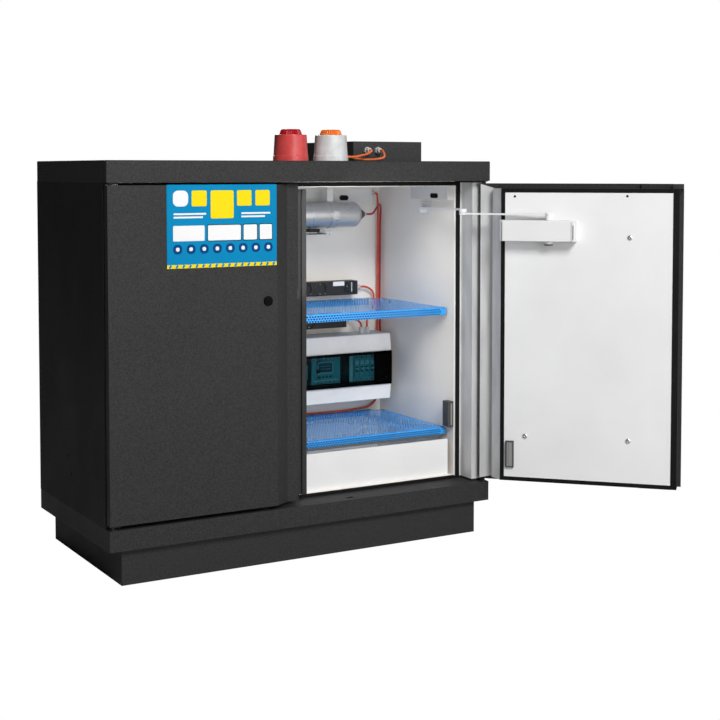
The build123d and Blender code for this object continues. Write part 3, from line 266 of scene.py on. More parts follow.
def galvanised(name, paint, bare_heights, bare_half_width, metallic=0.3):
    """Satin zinc sheet with long slanting waves, bare between two heights and painted past a half width."""
    finish = Finish(name, 0.5, metallic)
    turned = {"Vector": finish.place, "Rotation": (0.35, 0.5, 0), "Scale": (9, 9, 2.2)}
    slant = finish.node("ShaderNodeMapping", turned)
    rolling = {"Vector": slant.outputs[0], "Scale": 1.6, "Detail": 2.0, "Distortion": 1.4}
    waves = finish.node("ShaderNodeTexNoise", rolling)
    tone = finish.ranged(waves.outputs["Fac"], 0.0, 1.0)
    bare = finish.mixed(tone, (0.60, 0.60, 0.60, 1), (0.74, 0.74, 0.74, 1))
    place = finish.node("ShaderNodeSeparateXYZ", {0: finish.place}).outputs

    def combined(value, limit, operation):
        return finish.node("ShaderNodeMath", {0: value, 1: limit}, operation=operation).outputs[0]

    above = combined(place["Z"], bare_heights[1], "GREATER_THAN")
    below = combined(place["Z"], bare_heights[0], "LESS_THAN")
    across = finish.node("ShaderNodeMath", {0: place["X"]}, operation="ABSOLUTE").outputs[0]
    beside = combined(across, bare_half_width, "GREATER_THAN")
    covered = combined(combined(above, below, "MAXIMUM"), beside, "MAXIMUM")
    finish.put("Base Color", finish.mixed(covered, bare, paint))
    finish.put("Roughness", finish.ranged(finish.noise(0.02, 4.0), 0.44, 0.56))
    finish.relief((waves.outputs["Fac"], 0.006, 0.12), (finish.noise(0.006, 2.0), 0.0002, 0.1), edge=0.0006)
    return finish.material


def brushed_steel(name, grain_scale, roughness=0.28):
    """Stainless steel with brushing that runs across the axis given the small scale."""
    finish = Finish(name, roughness, 0.7)
    lines = finish.noise(0.01, 4.0, finish.stretched(grain_scale))
    finish.put("Base Color", finish.mixed(lines, (0.50, 0.50, 0.50, 1), (0.62, 0.62, 0.62, 1)))
    finish.put("Roughness", finish.ranged(lines, roughness - 0.07, roughness + 0.08))
    finish.relief((lines, 0.0002, 0.15), edge=0.0006)
    return finish.material


def sleeve(name, colour):
    """A silicone-coated glass-braid cable sleeve: fine crossed braid over a soft sheen."""
    finish = Finish(name, 0.55, Sheen_Weight=0.15)
    braid = finish.node("ShaderNodeTexVoronoi", {"Vector": finish.place, "Scale": 900.0}).outputs["Distance"]
    drift = finish.ranged(finish.noise(0.03, 3.0), 0.0, 1.0)
    finish.put("Base Color", finish.mixed(drift, shade(colour, 0.8), shade(colour, 1.15)))
    finish.relief((braid, 0.0003, 0.4))
    return finish.material


def rubber(name, tone=0.004):
    """Black extruded rubber, dusty where it is broad."""
    finish = Finish(name, 0.6, Specular_IOR_Level=0.12)
    dust = finish.ranged(finish.noise(0.05, 4.0), 0.0, 1.0)
    colour = (tone, tone, tone, 1)
    finish.put("Base Color", finish.mixed(dust, colour, shade(colour, 1.8)))
    finish.put("Roughness", finish.ranged(finish.noise(0.02, 3.0), 0.5, 0.72))
    finish.relief((finish.noise(0.0015, 2.0), 0.0002, 0.25), edge=0.001)
    return finish.material


def moulded(name, colour, grain=0.0012, roughness=0.45, sheen=0.4):
    """Moulded plastic with a fine spark-eroded texture."""
    finish = Finish(name, roughness, Specular_IOR_Level=sheen)
    drift = finish.ranged(finish.noise(0.03, 3.0), 0.0, 1.0)
    finish.put("Base Color", finish.mixed(drift, shade(colour, 0.97), shade(colour, 1.03)))
    finish.put("Roughness", finish.ranged(finish.noise(0.015, 3.0), roughness - 0.06, roughness + 0.06))
    finish.relief((finish.noise(grain, 1.0), 0.0001, 0.3), edge=0.0006)
    return finish.material


def translucent(name, colour, roughness=0.18, glow=0.5):
    """Tinted polycarbonate that lets some light through."""
    finish = Finish(name, roughness, IOR=1.5, Subsurface_Weight=glow, Subsurface_Scale=0.01)
    finish.put("Subsurface Radius", (0.9, 0.5, 0.4))
    drift = finish.ranged(finish.noise(0.02, 3.0), 0.0, 1.0)
    finish.put("Base Color", finish.mixed(drift, shade(colour, 0.88), shade(colour, 1.1)))
    finish.relief((finish.noise(0.006, 2.0), 0.0002, 0.15), edge=0.0006)
    return finish.material


def smoked_window(name):
    """Smoked clear plastic: dark, glossy, faintly uneven."""
    finish = Finish(name, 0.04, IOR=1.15, Transmission_Weight=1.0)
    haze = finish.ranged(finish.noise(0.05, 3.0), 0.0, 1.0)
    finish.put("Base Color", finish.mixed(haze, (0.20, 0.36, 0.40, 1), (0.23, 0.40, 0.44, 1)))
    finish.put("Roughness", finish.ranged(finish.noise(0.03, 3.0), 0.03, 0.08))
    return finish.material


CHARCOAL = (0.025, 0.025, 0.0255, 1)
WHITE = (0.79, 0.79, 0.79, 1)
LINING = (0.86, 0.815, 0.755, 1)
SHELF_BLUE = (0.022, 0.30, 0.78, 1)
ORANGE = (0.62, 0.070, 0.022, 1)
DARK_RED = (0.36, 0.012, 0.016, 1)

charcoal = powder_coat("charcoal_powder_coat", CHARCOAL)
# painted shade: the same charcoal powder coat, darkened to 0.6 and less glossy, for the side panels that face
# away from the light
side_charcoal_painted_shade = powder_coat("side_powder_coat_painted_shade", shade(CHARCOAL, 0.6), sheen=0.12)
white_panel = smooth_paint("white_stoved_paint", WHITE)
lining_white = smooth_paint("white_lining_paint", LINING)
closer_paint = smooth_paint("closer_paint", (0.78, 0.78, 0.78, 1), 0.35)
wall_zinc = galvanised("wall_zinc", shade(CHARCOAL, 0.5), (0.158, 1.047), 0.587)
door_zinc = galvanised("door_zinc", shade(CHARCOAL, 0.5), (0.158, 1.047), 9.0)
bevel_zinc = galvanised("bevel_zinc", shade(CHARCOAL, 0.5), (0.158, 1.047), 9.0, 0.1)
stainless = brushed_steel("brushed_stainless", (0.25, 3.0, 3.0), 0.33)
pin_steel = brushed_steel("bright_steel", (1.0, 1.0, 8.0), 0.22)
blue_coat = powder_coat("blue_powder_coat", SHELF_BLUE, grain=0.0016, contrast=0.08, roughness=0.28,
                        sheen=0.7)
# painted shade: the shelf blue darkened to 5% for the sheet folded behind the lip
blue_fold_painted_shade = powder_coat("blue_inner_fold_painted_shade", shade(SHELF_BLUE, 0.05), grain=0.0016, contrast=0.08)
orange_sleeve = sleeve("orange_sleeve", ORANGE)
red_sleeve = sleeve("dark_red_sleeve", DARK_RED)
lid_sleeve = sleeve("lid_cable_sleeve", (0.80, 0.15, 0.02, 1))
seal_rubber = rubber("seal_rubber")
socket_black = moulded("black_plastic", (0.010, 0.010, 0.010, 1), roughness=0.5)
grey_plastic = moulded("grey_plastic", (0.50, 0.51, 0.50, 1))
box_plastic = moulded("box_plastic", (0.80, 0.79, 0.77, 1), roughness=0.42)
teal_module = moulded("module_plastic", (0.13, 0.46, 0.50, 1), roughness=0.35)
duct_grey = smooth_paint("duct_paint", (0.62, 0.62, 0.61, 1))
switch_metal = moulded("switch_metal", (0.055, 0.055, 0.055, 1), roughness=0.4)
dark_hole = rubber("hole_shadow", 0.003)
lock_black = moulded("lock_black", (0.001, 0.001, 0.001, 1), roughness=0.4, sheen=0.06)
red_shell = translucent("red_beacon_shell", (0.66, 0.07, 0.07, 1), 0.32, 0.15)
red_lens = translucent("red_lens", (0.42, 0.004, 0.010, 1))
white_shell = translucent("white_beacon_shell", (0.70, 0.71, 0.71, 1), 0.32, 0.1)
amber_lens = translucent("amber_lens", (0.84, 0.20, 0.02, 1))
smoked = smoked_window("smoked_window")

NODE_FINISH = {
    "amber_beacon_lens": amber_lens,
    "base_frame": charcoal,
    "beacon_cables": lid_sleeve,
    "bottle_straps": duct_grey,
    "breaker_row": teal_module,
    "breaker_toggle": socket_black,
    "cable_glands": grey_plastic,
    "cavity_liners": lining_white,
    "closer_shoes": closer_paint,
    "control_box": powder_coat("control_box_paint", shade(CHARCOAL, 1.5), grain=0.0018),
    "din_rail": pin_steel,
    "distribution_base": grey_plastic,
    "distribution_cover": box_plastic,
    "distribution_window": smoked,
    "door_switches": switch_metal,
    "exhaust_duct": duct_grey,
    "extinguisher": stainless,
    "frame_seal": seal_rubber,
    "hinge_bushes": socket_black,
    "insulated_walls": wall_zinc,
    "lid": charcoal,
    "lower_power_strip": socket_black,
    "main_switch_toggle": socket_black,
    "outer_panels": side_charcoal_painted_shade,
    "plinth_cover": charcoal,
    "plinth_skids": charcoal,
    "power_cables": orange_sleeve,
    "power_sockets": socket_black,
    "red_beacon_body": red_shell,
    "red_beacon_lens": red_lens,
    "release_head": socket_black,
    "sensor_cable": red_sleeve,
    "shelf_clips": pin_steel,
    "lower_shelf": blue_coat,
    "upper_shelf": blue_coat,
    "strip_rocker": socket_black,
    "sump_tray": white_panel,
    "supply_vent": duct_grey,
    "upper_power_strip": socket_black,
    "white_beacon_body": white_shell,
}
DOOR_FINISH = {
    "bolt_rod": pin_steel,
    "closer_arm": closer_paint,
    "closer_body": closer_paint,
    "closer_forearm": closer_paint,
    "door_core": door_zinc,
    "door_pan": charcoal,
    "door_seal": seal_rubber,
    "inner_panel": white_panel,
    "lock_barrel": lock_black,
    "switch_plate": switch_metal,
}
for side in ("left", "right"):
    NODE_FINISH.update({f"{side}_{name}": finish for name, finish in DOOR_FINISH.items()})


def give_finish(obj, finish):
    """One material over the whole object."""
    for slot in obj.material_slots:
        slot.material = finish
    if not obj.material_slots:
        obj.data.materials.append(finish)


for name, finish in NODE_FINISH.items():
    give_finish(nodes[name], finish)

# ------------------------------------------------------------
# Making pieces
# ------------------------------------------------------------


def add_piece(name, shape, finish, body="cabinet", smooth_angle=35.0):
    """A riding mesh object from a bmesh, smooth over angles below smooth_angle degrees."""
    bmesh.ops.recalc_face_normals(shape, faces=shape.faces[:])
    for face in shape.faces:
        face.smooth = True
    for edge in shape.edges:
        if len(edge.link_faces) == 2 and edge.calc_face_angle() > math.radians(smooth_angle):
            edge.smooth = False
    mesh = bpy.data.meshes.new(name)
    shape.to_mesh(mesh)
    shape.free()
    mesh.materials.append(finish)
    piece = bpy.data.objects.new(name, mesh)
    bpy.context.scene.collection.objects.link(piece)
    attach(piece, body)
    return piece


FORWARD = (0, -1, 0)  # the way the cabinet faces


def facing(place, direction, up=(0, 0, 1)):
    """A matrix whose Z points along direction and whose Y leans towards up, at a place."""
    z = Vector(direction).normalized()
    x = Vector(up).cross(z).normalized()
    y = z.cross(x)
    turn = Matrix((x, y, z)).transposed().to_4x4()
    return Matrix.Translation(place) @ turn


def join_rings(shape, rings):
    """Faces between neighbouring rings, where a ring may be a single point on the axis."""
    for low, high in zip(rings, rings[1:]):
        count = max(len(low), len(high))
        for step in range(count):
            after = (step + 1) % count
            corners = [low[step % len(low)], low[after % len(low)]]
            corners += [high[after % len(high)], high[step % len(high)]]
            unique = list(dict.fromkeys(corners))
            if len(unique) > 2:
                shape.faces.new(unique)


def add_turned(shape, profile, matrix, segments=32, ribs=0, rib_depth=0.0):
    """Revolve (radius, height) points about the matrix's Z axis, with upright ribs pressed in if any."""
    rings = []
    for radius, height in profile:
        if radius == 0:
            rings.append([shape.verts.new(matrix @ Vector((0, 0, height)))])
            continue
        spots = []
        for step in range(segments):
            turn = math.tau * step / segments
            reach = radius - rib_depth * (1 - math.cos(turn * ribs)) / 2
            spots.append(Vector((reach * math.cos(turn), reach * math.sin(turn), height)))
        rings.append([shape.verts.new(matrix @ spot) for spot in spots])
    join_rings(shape, rings)


def rounded_outline(width, height, radius, steps=6):
    """Points round a rectangle with rounded corners, centred on zero."""
    points = []
    corners = ((1, 1, 0), (-1, 1, 90), (-1, -1, 180), (1, -1, 270))
    for side_x, side_y, start in corners:
        centre = (side_x * (width / 2 - radius), side_y * (height / 2 - radius))
        for step in range(steps + 1):
            turn = math.radians(start + 90 * step / steps)
            points.append((centre[0] + radius * math.cos(turn), centre[1] + radius * math.sin(turn)))
    return points


def add_plate(shape, matrix, width, height, thickness, radius, bevel=0.0):
    """A rounded plate standing on the matrix's XY plane, its top edge bevelled."""
    layers = [(0.0, 0.0), (0.0, thickness - bevel)]
    if bevel:
        layers.append((bevel, thickness))
    rings = []
    for inset, rise in layers:
        outline = rounded_outline(width - 2 * inset, height - 2 * inset, max(radius - inset, radius * 0.3))
        rings.append([shape.verts.new(matrix @ Vector((x, y, rise))) for x, y in outline])
    join_rings(shape, rings)
    shape.faces.new(rings[0][::-1])
    shape.faces.new(rings[-1])


def screw_profile(radius):
    """A domed screw head with a round socket in it."""
    dome = [(radius, 0.0), (radius, radius * 0.22)]
    for step in range(1, 6):
        turn = math.radians(step * 12)
        dome.append((radius * math.cos(turn), radius * (0.22 + 0.45 * math.sin(turn))))
    rim = dome[-1][1]
    socket = [(radius * 0.40, rim + radius * 0.03), (radius * 0.36, rim - radius * 0.3)]
    return dome + socket + [(0.0, rim - radius * 0.34)]


def add_screws(name, places, direction, radius, finish, body):
    """A row of domed screws that all face one way."""
    shape = bmesh.new()
    for place in places:
        add_turned(shape, screw_profile(radius), facing(place, direction), 20)
    return add_piece(name, shape, finish, body)


# ------------------------------------------------------------
# Places on the doors
# ------------------------------------------------------------

DOOR_TURN = {"left": 0.0, "right": 134.4}  # degrees open at rest
SIDE_SIGN = {"left": -1, "right": 1}
PIVOTS = {joint["name"]: Vector(joint["pos_m"]) for joint in frame["joints"] if "pos_m" in joint}


def on_door(side, along, inward, height):
    """A point on a door: along from its hinge, inward from the pin's plane, above the floor."""
    turn = Matrix.Rotation(math.radians(DOOR_TURN[side]), 3, "Z")
    pivot = PIVOTS[f"{side}_door_hinge"]
    shift = turn @ Vector((-SIDE_SIGN[side] * along, inward, 0))
    return Vector((pivot.x + shift.x, pivot.y + shift.y, height))


def door_inward(side):
    """The direction that a door's inner face looks."""
    return Matrix.Rotation(math.radians(DOOR_TURN[side]), 3, "Z") @ Vector((0, 1, 0))


def door_extent(node, side):
    """Lowest and highest (along, inward, height) of a CAD node in its door's own directions."""
    turn = Matrix.Rotation(-math.radians(DOOR_TURN[side]), 3, "Z")
    pivot = PIVOTS[f"{side}_door_hinge"]
    spots = []
    for vertex in nodes[node].data.vertices:
        shift = turn @ (vertex.co - Vector((pivot.x, pivot.y, 0)))
        spots.append((-SIDE_SIGN[side] * shift.x, shift.y, vertex.co.z))
    return [min(values) for values in zip(*spots)], [max(values) for values in zip(*spots)]


def refinish_faces(node, finish, chosen):
    """A second finish on the faces of a CAD node that chosen(centre, normal) picks."""
    mesh = nodes[node].data
    mesh.materials.append(finish)
    index = len(mesh.materials) - 1
    for face in mesh.polygons:
        if chosen(face.center, face.normal):
            face.material_index = index


# ------------------------------------------------------------
# Bare and painted faces of the carcass and the doors
# ------------------------------------------------------------

HINGE_EDGE = 0.075  # the door's bare edge is this wide, from the hinge side


def wall_is_painted(centre, normal):
    """Every front face of the carcass but the two jambs beside the opening."""
    outward = normal.x * (1 if centre.x > 0 else -1)
    return abs(normal.z) > 0.5 or outward > 0.5 or (abs(centre.x) < 0.5 and normal.y < -0.5)


FRONT_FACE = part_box("left_door_pan")[0].y
refinish_faces("insulated_walls", charcoal, wall_is_painted)
for side in ("left", "right"):
    core = door_extent(f"{side}_door_core", side)

    def is_painted(centre, normal, side=side, low=core[0][0]):
        turn = Matrix.Rotation(-math.radians(DOOR_TURN[side]), 3, "Z")
        pivot = PIVOTS[f"{side}_door_hinge"]
        along = -SIDE_SIGN[side] * (turn @ (centre - Vector((pivot.x, pivot.y, 0)))).x
        to_hinge = SIDE_SIGN[side] * (turn @ normal).x
        return along > low + HINGE_EDGE or abs(normal.z) > 0.5 or to_hinge > 0.9

    def is_bevel(centre, normal, side=side):
        inward = normal.dot(door_inward(side))
        return 0.3 < inward < 0.95 and abs(normal.z) < 0.5

    refinish_faces(f"{side}_door_core", bevel_zinc, is_bevel)
    refinish_faces(f"{side}_door_core", charcoal, is_painted)

# ------------------------------------------------------------
# Perforated shelves
# ------------------------------------------------------------

HOLE_PITCH = 0.009
HOLE_RADIUS = 0.0031
SHELF_BORDER = 0.012
SHELF_BEND = 0.003
SHELF_EDGE = 0.0007  # plain metal above and below the lip's holes
LIP_ROWS = 3
LIP_FOLD = 0.0025  # the lip is folded back on itself this far behind its face
NOTCH = (0.037, 0.029)  # cut for the cables: along X from the right end, along Y from the back


def add_perforation(shape, x_range, y_range, place, plain, rows=None):
    """Hexagon cells with a hole each, over two ranges; plain(x, y) says "cut" or leaves the hole out."""
    corners = {}

    def corner(x, y):
        key = (round(x, 6), round(y, 6))
        if key not in corners:
            corners[key] = shape.verts.new(place(x, y))
        return corners[key]

    angles = [math.radians(30 + 60 * step) for step in range(6)]
    outer = HOLE_PITCH / math.sqrt(3)
    row_pitch = HOLE_PITCH * math.sqrt(3) / 2
    row_count = rows or int((y_range[1] - y_range[0] - 2 * outer) / row_pitch) + 1
    columns = int((x_range[1] - x_range[0]) / HOLE_PITCH) - 1
    start_x = (x_range[0] + x_range[1] - (columns - 0.5) * HOLE_PITCH) / 2
    start_y = (y_range[0] + y_range[1] - (row_count - 1) * row_pitch) / 2
    for row in range(row_count):
        for column in range(columns):
            x = start_x + (column + (row % 2) / 2) * HOLE_PITCH
            y = start_y + row * row_pitch
            state = plain(x, y)
            if state == "cut":
                continue
            ring = [corner(x + outer * math.cos(turn), y + outer * math.sin(turn)) for turn in angles]
            if state or column in (0, columns - 1) or (rows is None and row in (0, row_count - 1)):
                shape.faces.new(ring)
                continue
            spots = [(x + HOLE_RADIUS * math.cos(turn), y + HOLE_RADIUS * math.sin(turn)) for turn in angles]
            rim = [shape.verts.new(place(*spot)) for spot in spots]
            for step in range(6):
                after = (step + 1) % 6
                shape.faces.new((ring[step], ring[after], rim[after], rim[step]))


def add_strip(shape, *lines):
    """A sheet through lines of points, each line of the same count."""
    rows = [[shape.verts.new(Vector(point)) for point in line] for line in lines]
    for low, high in zip(rows, rows[1:]):
        for step in range(len(low) - 1):
            shape.faces.new((low[step], low[step + 1], high[step + 1], high[step]))


def make_shelf(node):
    """A folded shelf of perforated sheet: top, rounded front bend, perforated lip, plain back lip."""
    low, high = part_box(node)
    top = high.z - 0.0001
    bend_y = low.y + SHELF_BEND
    shape = bmesh.new()

    def near_notch(x, y):
        if x > high.x - NOTCH[0] - HOLE_PITCH / 2 and y > high.y - NOTCH[1] - HOLE_PITCH / 2:
            return "cut"
        return x > high.x - NOTCH[0] - 1.6 * HOLE_PITCH and y > high.y - NOTCH[1] - 1.6 * HOLE_PITCH

    inner_x = (low.x + SHELF_BORDER / 2, high.x - SHELF_BORDER / 2)
    inner_y = (bend_y, high.y - SHELF_BORDER / 2)
    add_perforation(shape, inner_x, inner_y, lambda x, y: Vector((x, y, top)), near_notch)
    under = top - 0.0002
    overlap = 1.6 * HOLE_PITCH
    notch_x, notch_y = high.x - NOTCH[0], high.y - NOTCH[1]
    borders = (((low.x, high.x), (bend_y, bend_y + overlap)),
               ((low.x, notch_x), (high.y - overlap, high.y)),
               ((low.x, low.x + overlap), (bend_y, high.y)),
               ((high.x - overlap, high.x), (bend_y, notch_y)),
               ((notch_x - overlap, high.x), (notch_y - overlap, notch_y)),
               ((notch_x - overlap, notch_x), (notch_y, high.y)))
    for x_range, y_range in borders:
        add_strip(shape, *([(x, y, under) for x in x_range] for y in y_range))
    bend = []
    for step in range(7):
        turn = math.radians(15 * step)
        y = bend_y - SHELF_BEND * math.sin(turn)
        z = top - SHELF_BEND + SHELF_BEND * math.cos(turn)
        bend.append([(low.x, y, z), (high.x, y, z)])
    add_strip(shape, *bend)
    lip_top = top - SHELF_BEND
    lip_middle = (low.z + lip_top) / 2
    squeeze = (lip_top - low.z) / (HOLE_PITCH * 2.5)

    def on_lip(x, z):
        height = lip_middle + (z - lip_middle) * squeeze
        return Vector((x, low.y, min(max(height, low.z), lip_top)))

    add_perforation(shape, inner_x, (low.z, lip_top), on_lip, lambda x, z: False, LIP_ROWS)
    behind = low.y + 0.0002
    for z_range in ((low.z, low.z + SHELF_EDGE), (lip_top - SHELF_EDGE, lip_top)):
        add_strip(shape, [(low.x, behind, z_range[0]), (high.x, behind, z_range[0])],
                  [(low.x, behind, z_range[1]), (high.x, behind, z_range[1])])
    for x in (low.x, high.x - overlap):
        add_strip(shape, [(x, behind, low.z), (x + overlap, behind, low.z)],
                  [(x, behind, lip_top), (x + overlap, behind, lip_top)])
    add_strip(shape, [(low.x, high.y, low.z), (notch_x, high.y, low.z)],
              [(low.x, high.y, under), (notch_x, high.y, under)])
    # painted shade: the fold behind the lip is near-black blue, so the lip's holes read dark
    fold = bmesh.new()
    fold_y = low.y + LIP_FOLD
    add_strip(fold, [(low.x, low.y + 0.0003, low.z), (high.x, low.y + 0.0003, low.z)],
              [(low.x, fold_y, low.z), (high.x, fold_y, low.z)],
              [(low.x, fold_y, lip_top), (high.x, fold_y, lip_top)])
    add_piece(f"{node}_lip_fold", fold, blue_fold_painted_shade)
    shelf = add_piece(f"perforated_{node}", shape, blue_coat)
    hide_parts(node)


for node in ("upper_shelf", "lower_shelf"):
    make_shelf(node)

# ------------------------------------------------------------
# Plate on the left door
# ------------------------------------------------------------

PLATE_X = (-0.4325, -0.1125)
PLATE_Z = (0.826, 1.046)
plate_blue = smooth_paint("plate_blue_enamel", (0.0, 0.225, 0.46, 1), 0.5, 0.05, sheen=0.06)
plate_white = smooth_paint("plate_white_field", (0.80, 0.80, 0.80, 1), 0.5)
plate_yellow = smooth_paint("plate_yellow_field", (0.86, 0.66, 0.003, 1), 0.5, sheen=0.1)
plate_red = smooth_paint("plate_red_edge", (0.60, 0.03, 0.02, 1), 0.5, sheen=0.1)
plate_dark = smooth_paint("plate_dark_field", (0.0, 0.055, 0.20, 1), 0.5, sheen=0.06)


def make_door_plate():
    """A blank enamelled plate: blue ground, white and yellow fields with nothing on them."""
    width, height = PLATE_X[1] - PLATE_X[0], PLATE_Z[1] - PLATE_Z[0]
    middle = Vector((sum(PLATE_X) / 2, FRONT_FACE, sum(PLATE_Z) / 2))
    outward = Vector(FORWARD)

    def fields(name, finish, boxes, rise):
        shape = bmesh.new()
        for left, top, wide, tall, radius in boxes:
            x = PLATE_X[0] + width * (left + wide / 2)
            z = PLATE_Z[1] - height * (top + tall / 2)
            matrix = facing((x, FRONT_FACE - rise, z), outward)
            add_plate(shape, matrix, width * wide, height * tall, 0.0003, radius, 0.0001)
        return add_piece(name, shape, finish, "left_door")

    shape = bmesh.new()
    add_plate(shape, facing(middle, outward), width, height, 0.0012, 0.003, 0.0003)
    add_piece("blue_plate", shape, plate_blue, "left_door")
    stripes = bmesh.new()
    for place in range(STRIPES):
        x = PLATE_X[0] + width * (place + 0.5) / STRIPES
        matrix = facing((x, FRONT_FACE - 0.0013, PLATE_Z[1] - height * 0.9775), outward)
        matrix = matrix @ Matrix.Rotation(STRIPE_SLANT, 4, "Z")
        add_plate(stripes, matrix, 0.0058, height * 0.042, 0.0003, 0.0005, 0.0001)
    add_piece("border_stripes", stripes, plate_blue, "left_door")
    squares = [(left, 0.07, 0.135, 0.19, 0.004) for left in (0.22, 0.63, 0.80)]
    middle_field = (0.39, 0.07, 0.21, 0.34, 0.005)
    foot_strip = (0.0, 0.955, 1.0, 0.045, 0.001)
    fields("yellow_fields", plate_yellow, squares + [middle_field, foot_strip], 0.0011)
    lines = [(0.06, 0.34, 0.29), (0.06, 0.38, 0.26), (0.67, 0.34, 0.27), (0.67, 0.38, 0.22)]
    panels = [(0.055, 0.28), (0.365, 0.30), (0.69, 0.125), (0.84, 0.115)]
    rows = [(left, top, wide, 0.022, 0.001) for left, top, wide in lines]
    rows += [(left, 0.49, wide, 0.185, 0.003) for left, wide in panels]
    rows.append((0.055, 0.07, 0.135, 0.19, 0.014))
    fields("white_fields", plate_white, rows, 0.0011)
    dots = [(0.055 + 0.118 * place, 0.715, 0.08, 0.115, 0.011) for place in range(8)]
    fields("dark_fields", plate_dark, dots, 0.0011)
    centres = [(left + 0.024, top + 0.034, 0.032, 0.047, 0.004) for left, top, wide, tall, radius in dots]
    fields("field_centres", plate_white, centres, 0.0013)
    edges = [(left - 0.006, 0.481, wide + 0.012, 0.203, 0.003) for left, wide in panels[1:]]
    fields("red_edges", plate_red, edges, 0.0009)


STRIPES = 17
STRIPE_SLANT = -0.6
make_door_plate()

# ------------------------------------------------------------
# Screws, holes and seams
# ------------------------------------------------------------

LID_SCREW_FROM_END = 0.035
LID_SCREW_RADIUS = 0.0045
PANEL_SCREW_RADIUS = 0.0075
PANEL_SCREWS = ((0.138, 0.309), (0.435, 0.309), (0.435, 0.892), (0.138, 0.892))  # along the door, height
PANEL_HOLES = ((0.104, 1.008), (0.426, 1.010))


def make_lid_screws():
    """Two screws in each end of the lid."""
    low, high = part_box("lid")
    height = low.z + 0.55 * (high.z - low.z)
    for name, x, outward in (("left", low.x, -1), ("right", high.x, 1)):
        places = [(x, y, height) for y in (low.y + LID_SCREW_FROM_END, high.y - LID_SCREW_FROM_END)]
        add_screws(f"lid_screws_{name}", places, (outward, 0, 0), LID_SCREW_RADIUS, socket_black, "cabinet")


def make_panel_screws(side):
    """Cap screws and two small holes in a door's white inner panel."""
    face = door_extent(f"{side}_inner_panel", side)[1][1]
    inward = door_inward(side)
    places = [on_door(side, along, face, height) for along, height in PANEL_SCREWS]
    add_screws(f"{side}_panel_screws", places, inward, PANEL_SCREW_RADIUS, pin_steel, f"{side}_door")
    shape = bmesh.new()
    for along, height in PANEL_HOLES:
        matrix = facing(on_door(side, along, face - 0.0005, height), inward)
        rim = [(0.0036, 0.0), (0.0036, 0.0009), (0.0026, 0.0009), (0.0024, 0.0006), (0, 0.0006)]
        add_turned(shape, rim, matrix, 20)
    add_piece(f"{side}_panel_holes", shape, dark_hole, f"{side}_door")


make_lid_screws()
for side in ("left", "right"):
    make_panel_screws(side)

# ------------------------------------------------------------
# Extinguisher and its release
# ------------------------------------------------------------

BOTTLE_RADIUS = 0.040
BOTTLE_Y, BOTTLE_Z = 0.130, 0.945
CLAMP_PLACES = (0.208, 0.2700)  # clamp rings on the part that the open door shows


def make_bottle():
    """The steel bottle: a dished base, a short shoulder, an outlet cone and its electrical connector."""
    low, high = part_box("extinguisher")
    along = facing((0, BOTTLE_Y, BOTTLE_Z), (1, 0, 0))
    radius = BOTTLE_RADIUS
    shape = bmesh.new()
    profile = [(0, low.x + 0.006), (radius * 0.6, low.x + 0.002), (radius * 0.85, low.x + 0.004),
               (radius * 0.97, low.x + 0.012), (radius, low.x + 0.022), (radius, 0.366),
               (radius * 0.985, 0.370), (radius * 0.93, 0.3745), (radius * 0.72, 0.383),
               (radius * 0.56, 0.3855), (radius * 0.50, 0.3865)]
    add_turned(shape, profile, along, 64)
    bottle = add_piece("bottle", shape, stainless, "cabinet", 40)
    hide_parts("extinguisher")
    shape = bmesh.new()
    cone = [(0.0205, 0.3860), (0.0205, 0.3895), (0.0185, 0.3915), (0.0105, 0.4035), (0.0100, 0.4045),
            (0, 0.4045)]
    add_turned(shape, cone, along, 48)
    add_piece("outlet_cone", shape, switch_metal)
    shape = bmesh.new()
    nut = [(0.0072, 0.4040), (0.0072, 0.4075), (0.0055, 0.4080), (0.0055, 0.4095), (0.0066, 0.4100),
           (0.0066, high.x - 0.001), (0.0045, high.x)]
    add_turned(shape, nut, along, 12)
    add_piece("outlet_connector", shape, grey_plastic)
    shape = bmesh.new()
    for start in CLAMP_PLACES:
        ring = [(radius, start), (radius + 0.0004, start), (radius + 0.0010, start + 0.001),
                (radius + 0.0010, start + 0.006), (radius + 0.0004, start + 0.007), (radius, start + 0.007)]
        add_turned(shape, ring, along, 64)
    add_piece("bottle_clamps", shape, stainless)
    shape = bmesh.new()
    tag_place = facing((0.287, BOTTLE_Y - radius - 0.0002, BOTTLE_Z), FORWARD)
    add_plate(shape, tag_place, 0.018, 0.022, 0.0008, 0.002)
    add_piece("bottle_tag", shape, white_panel)


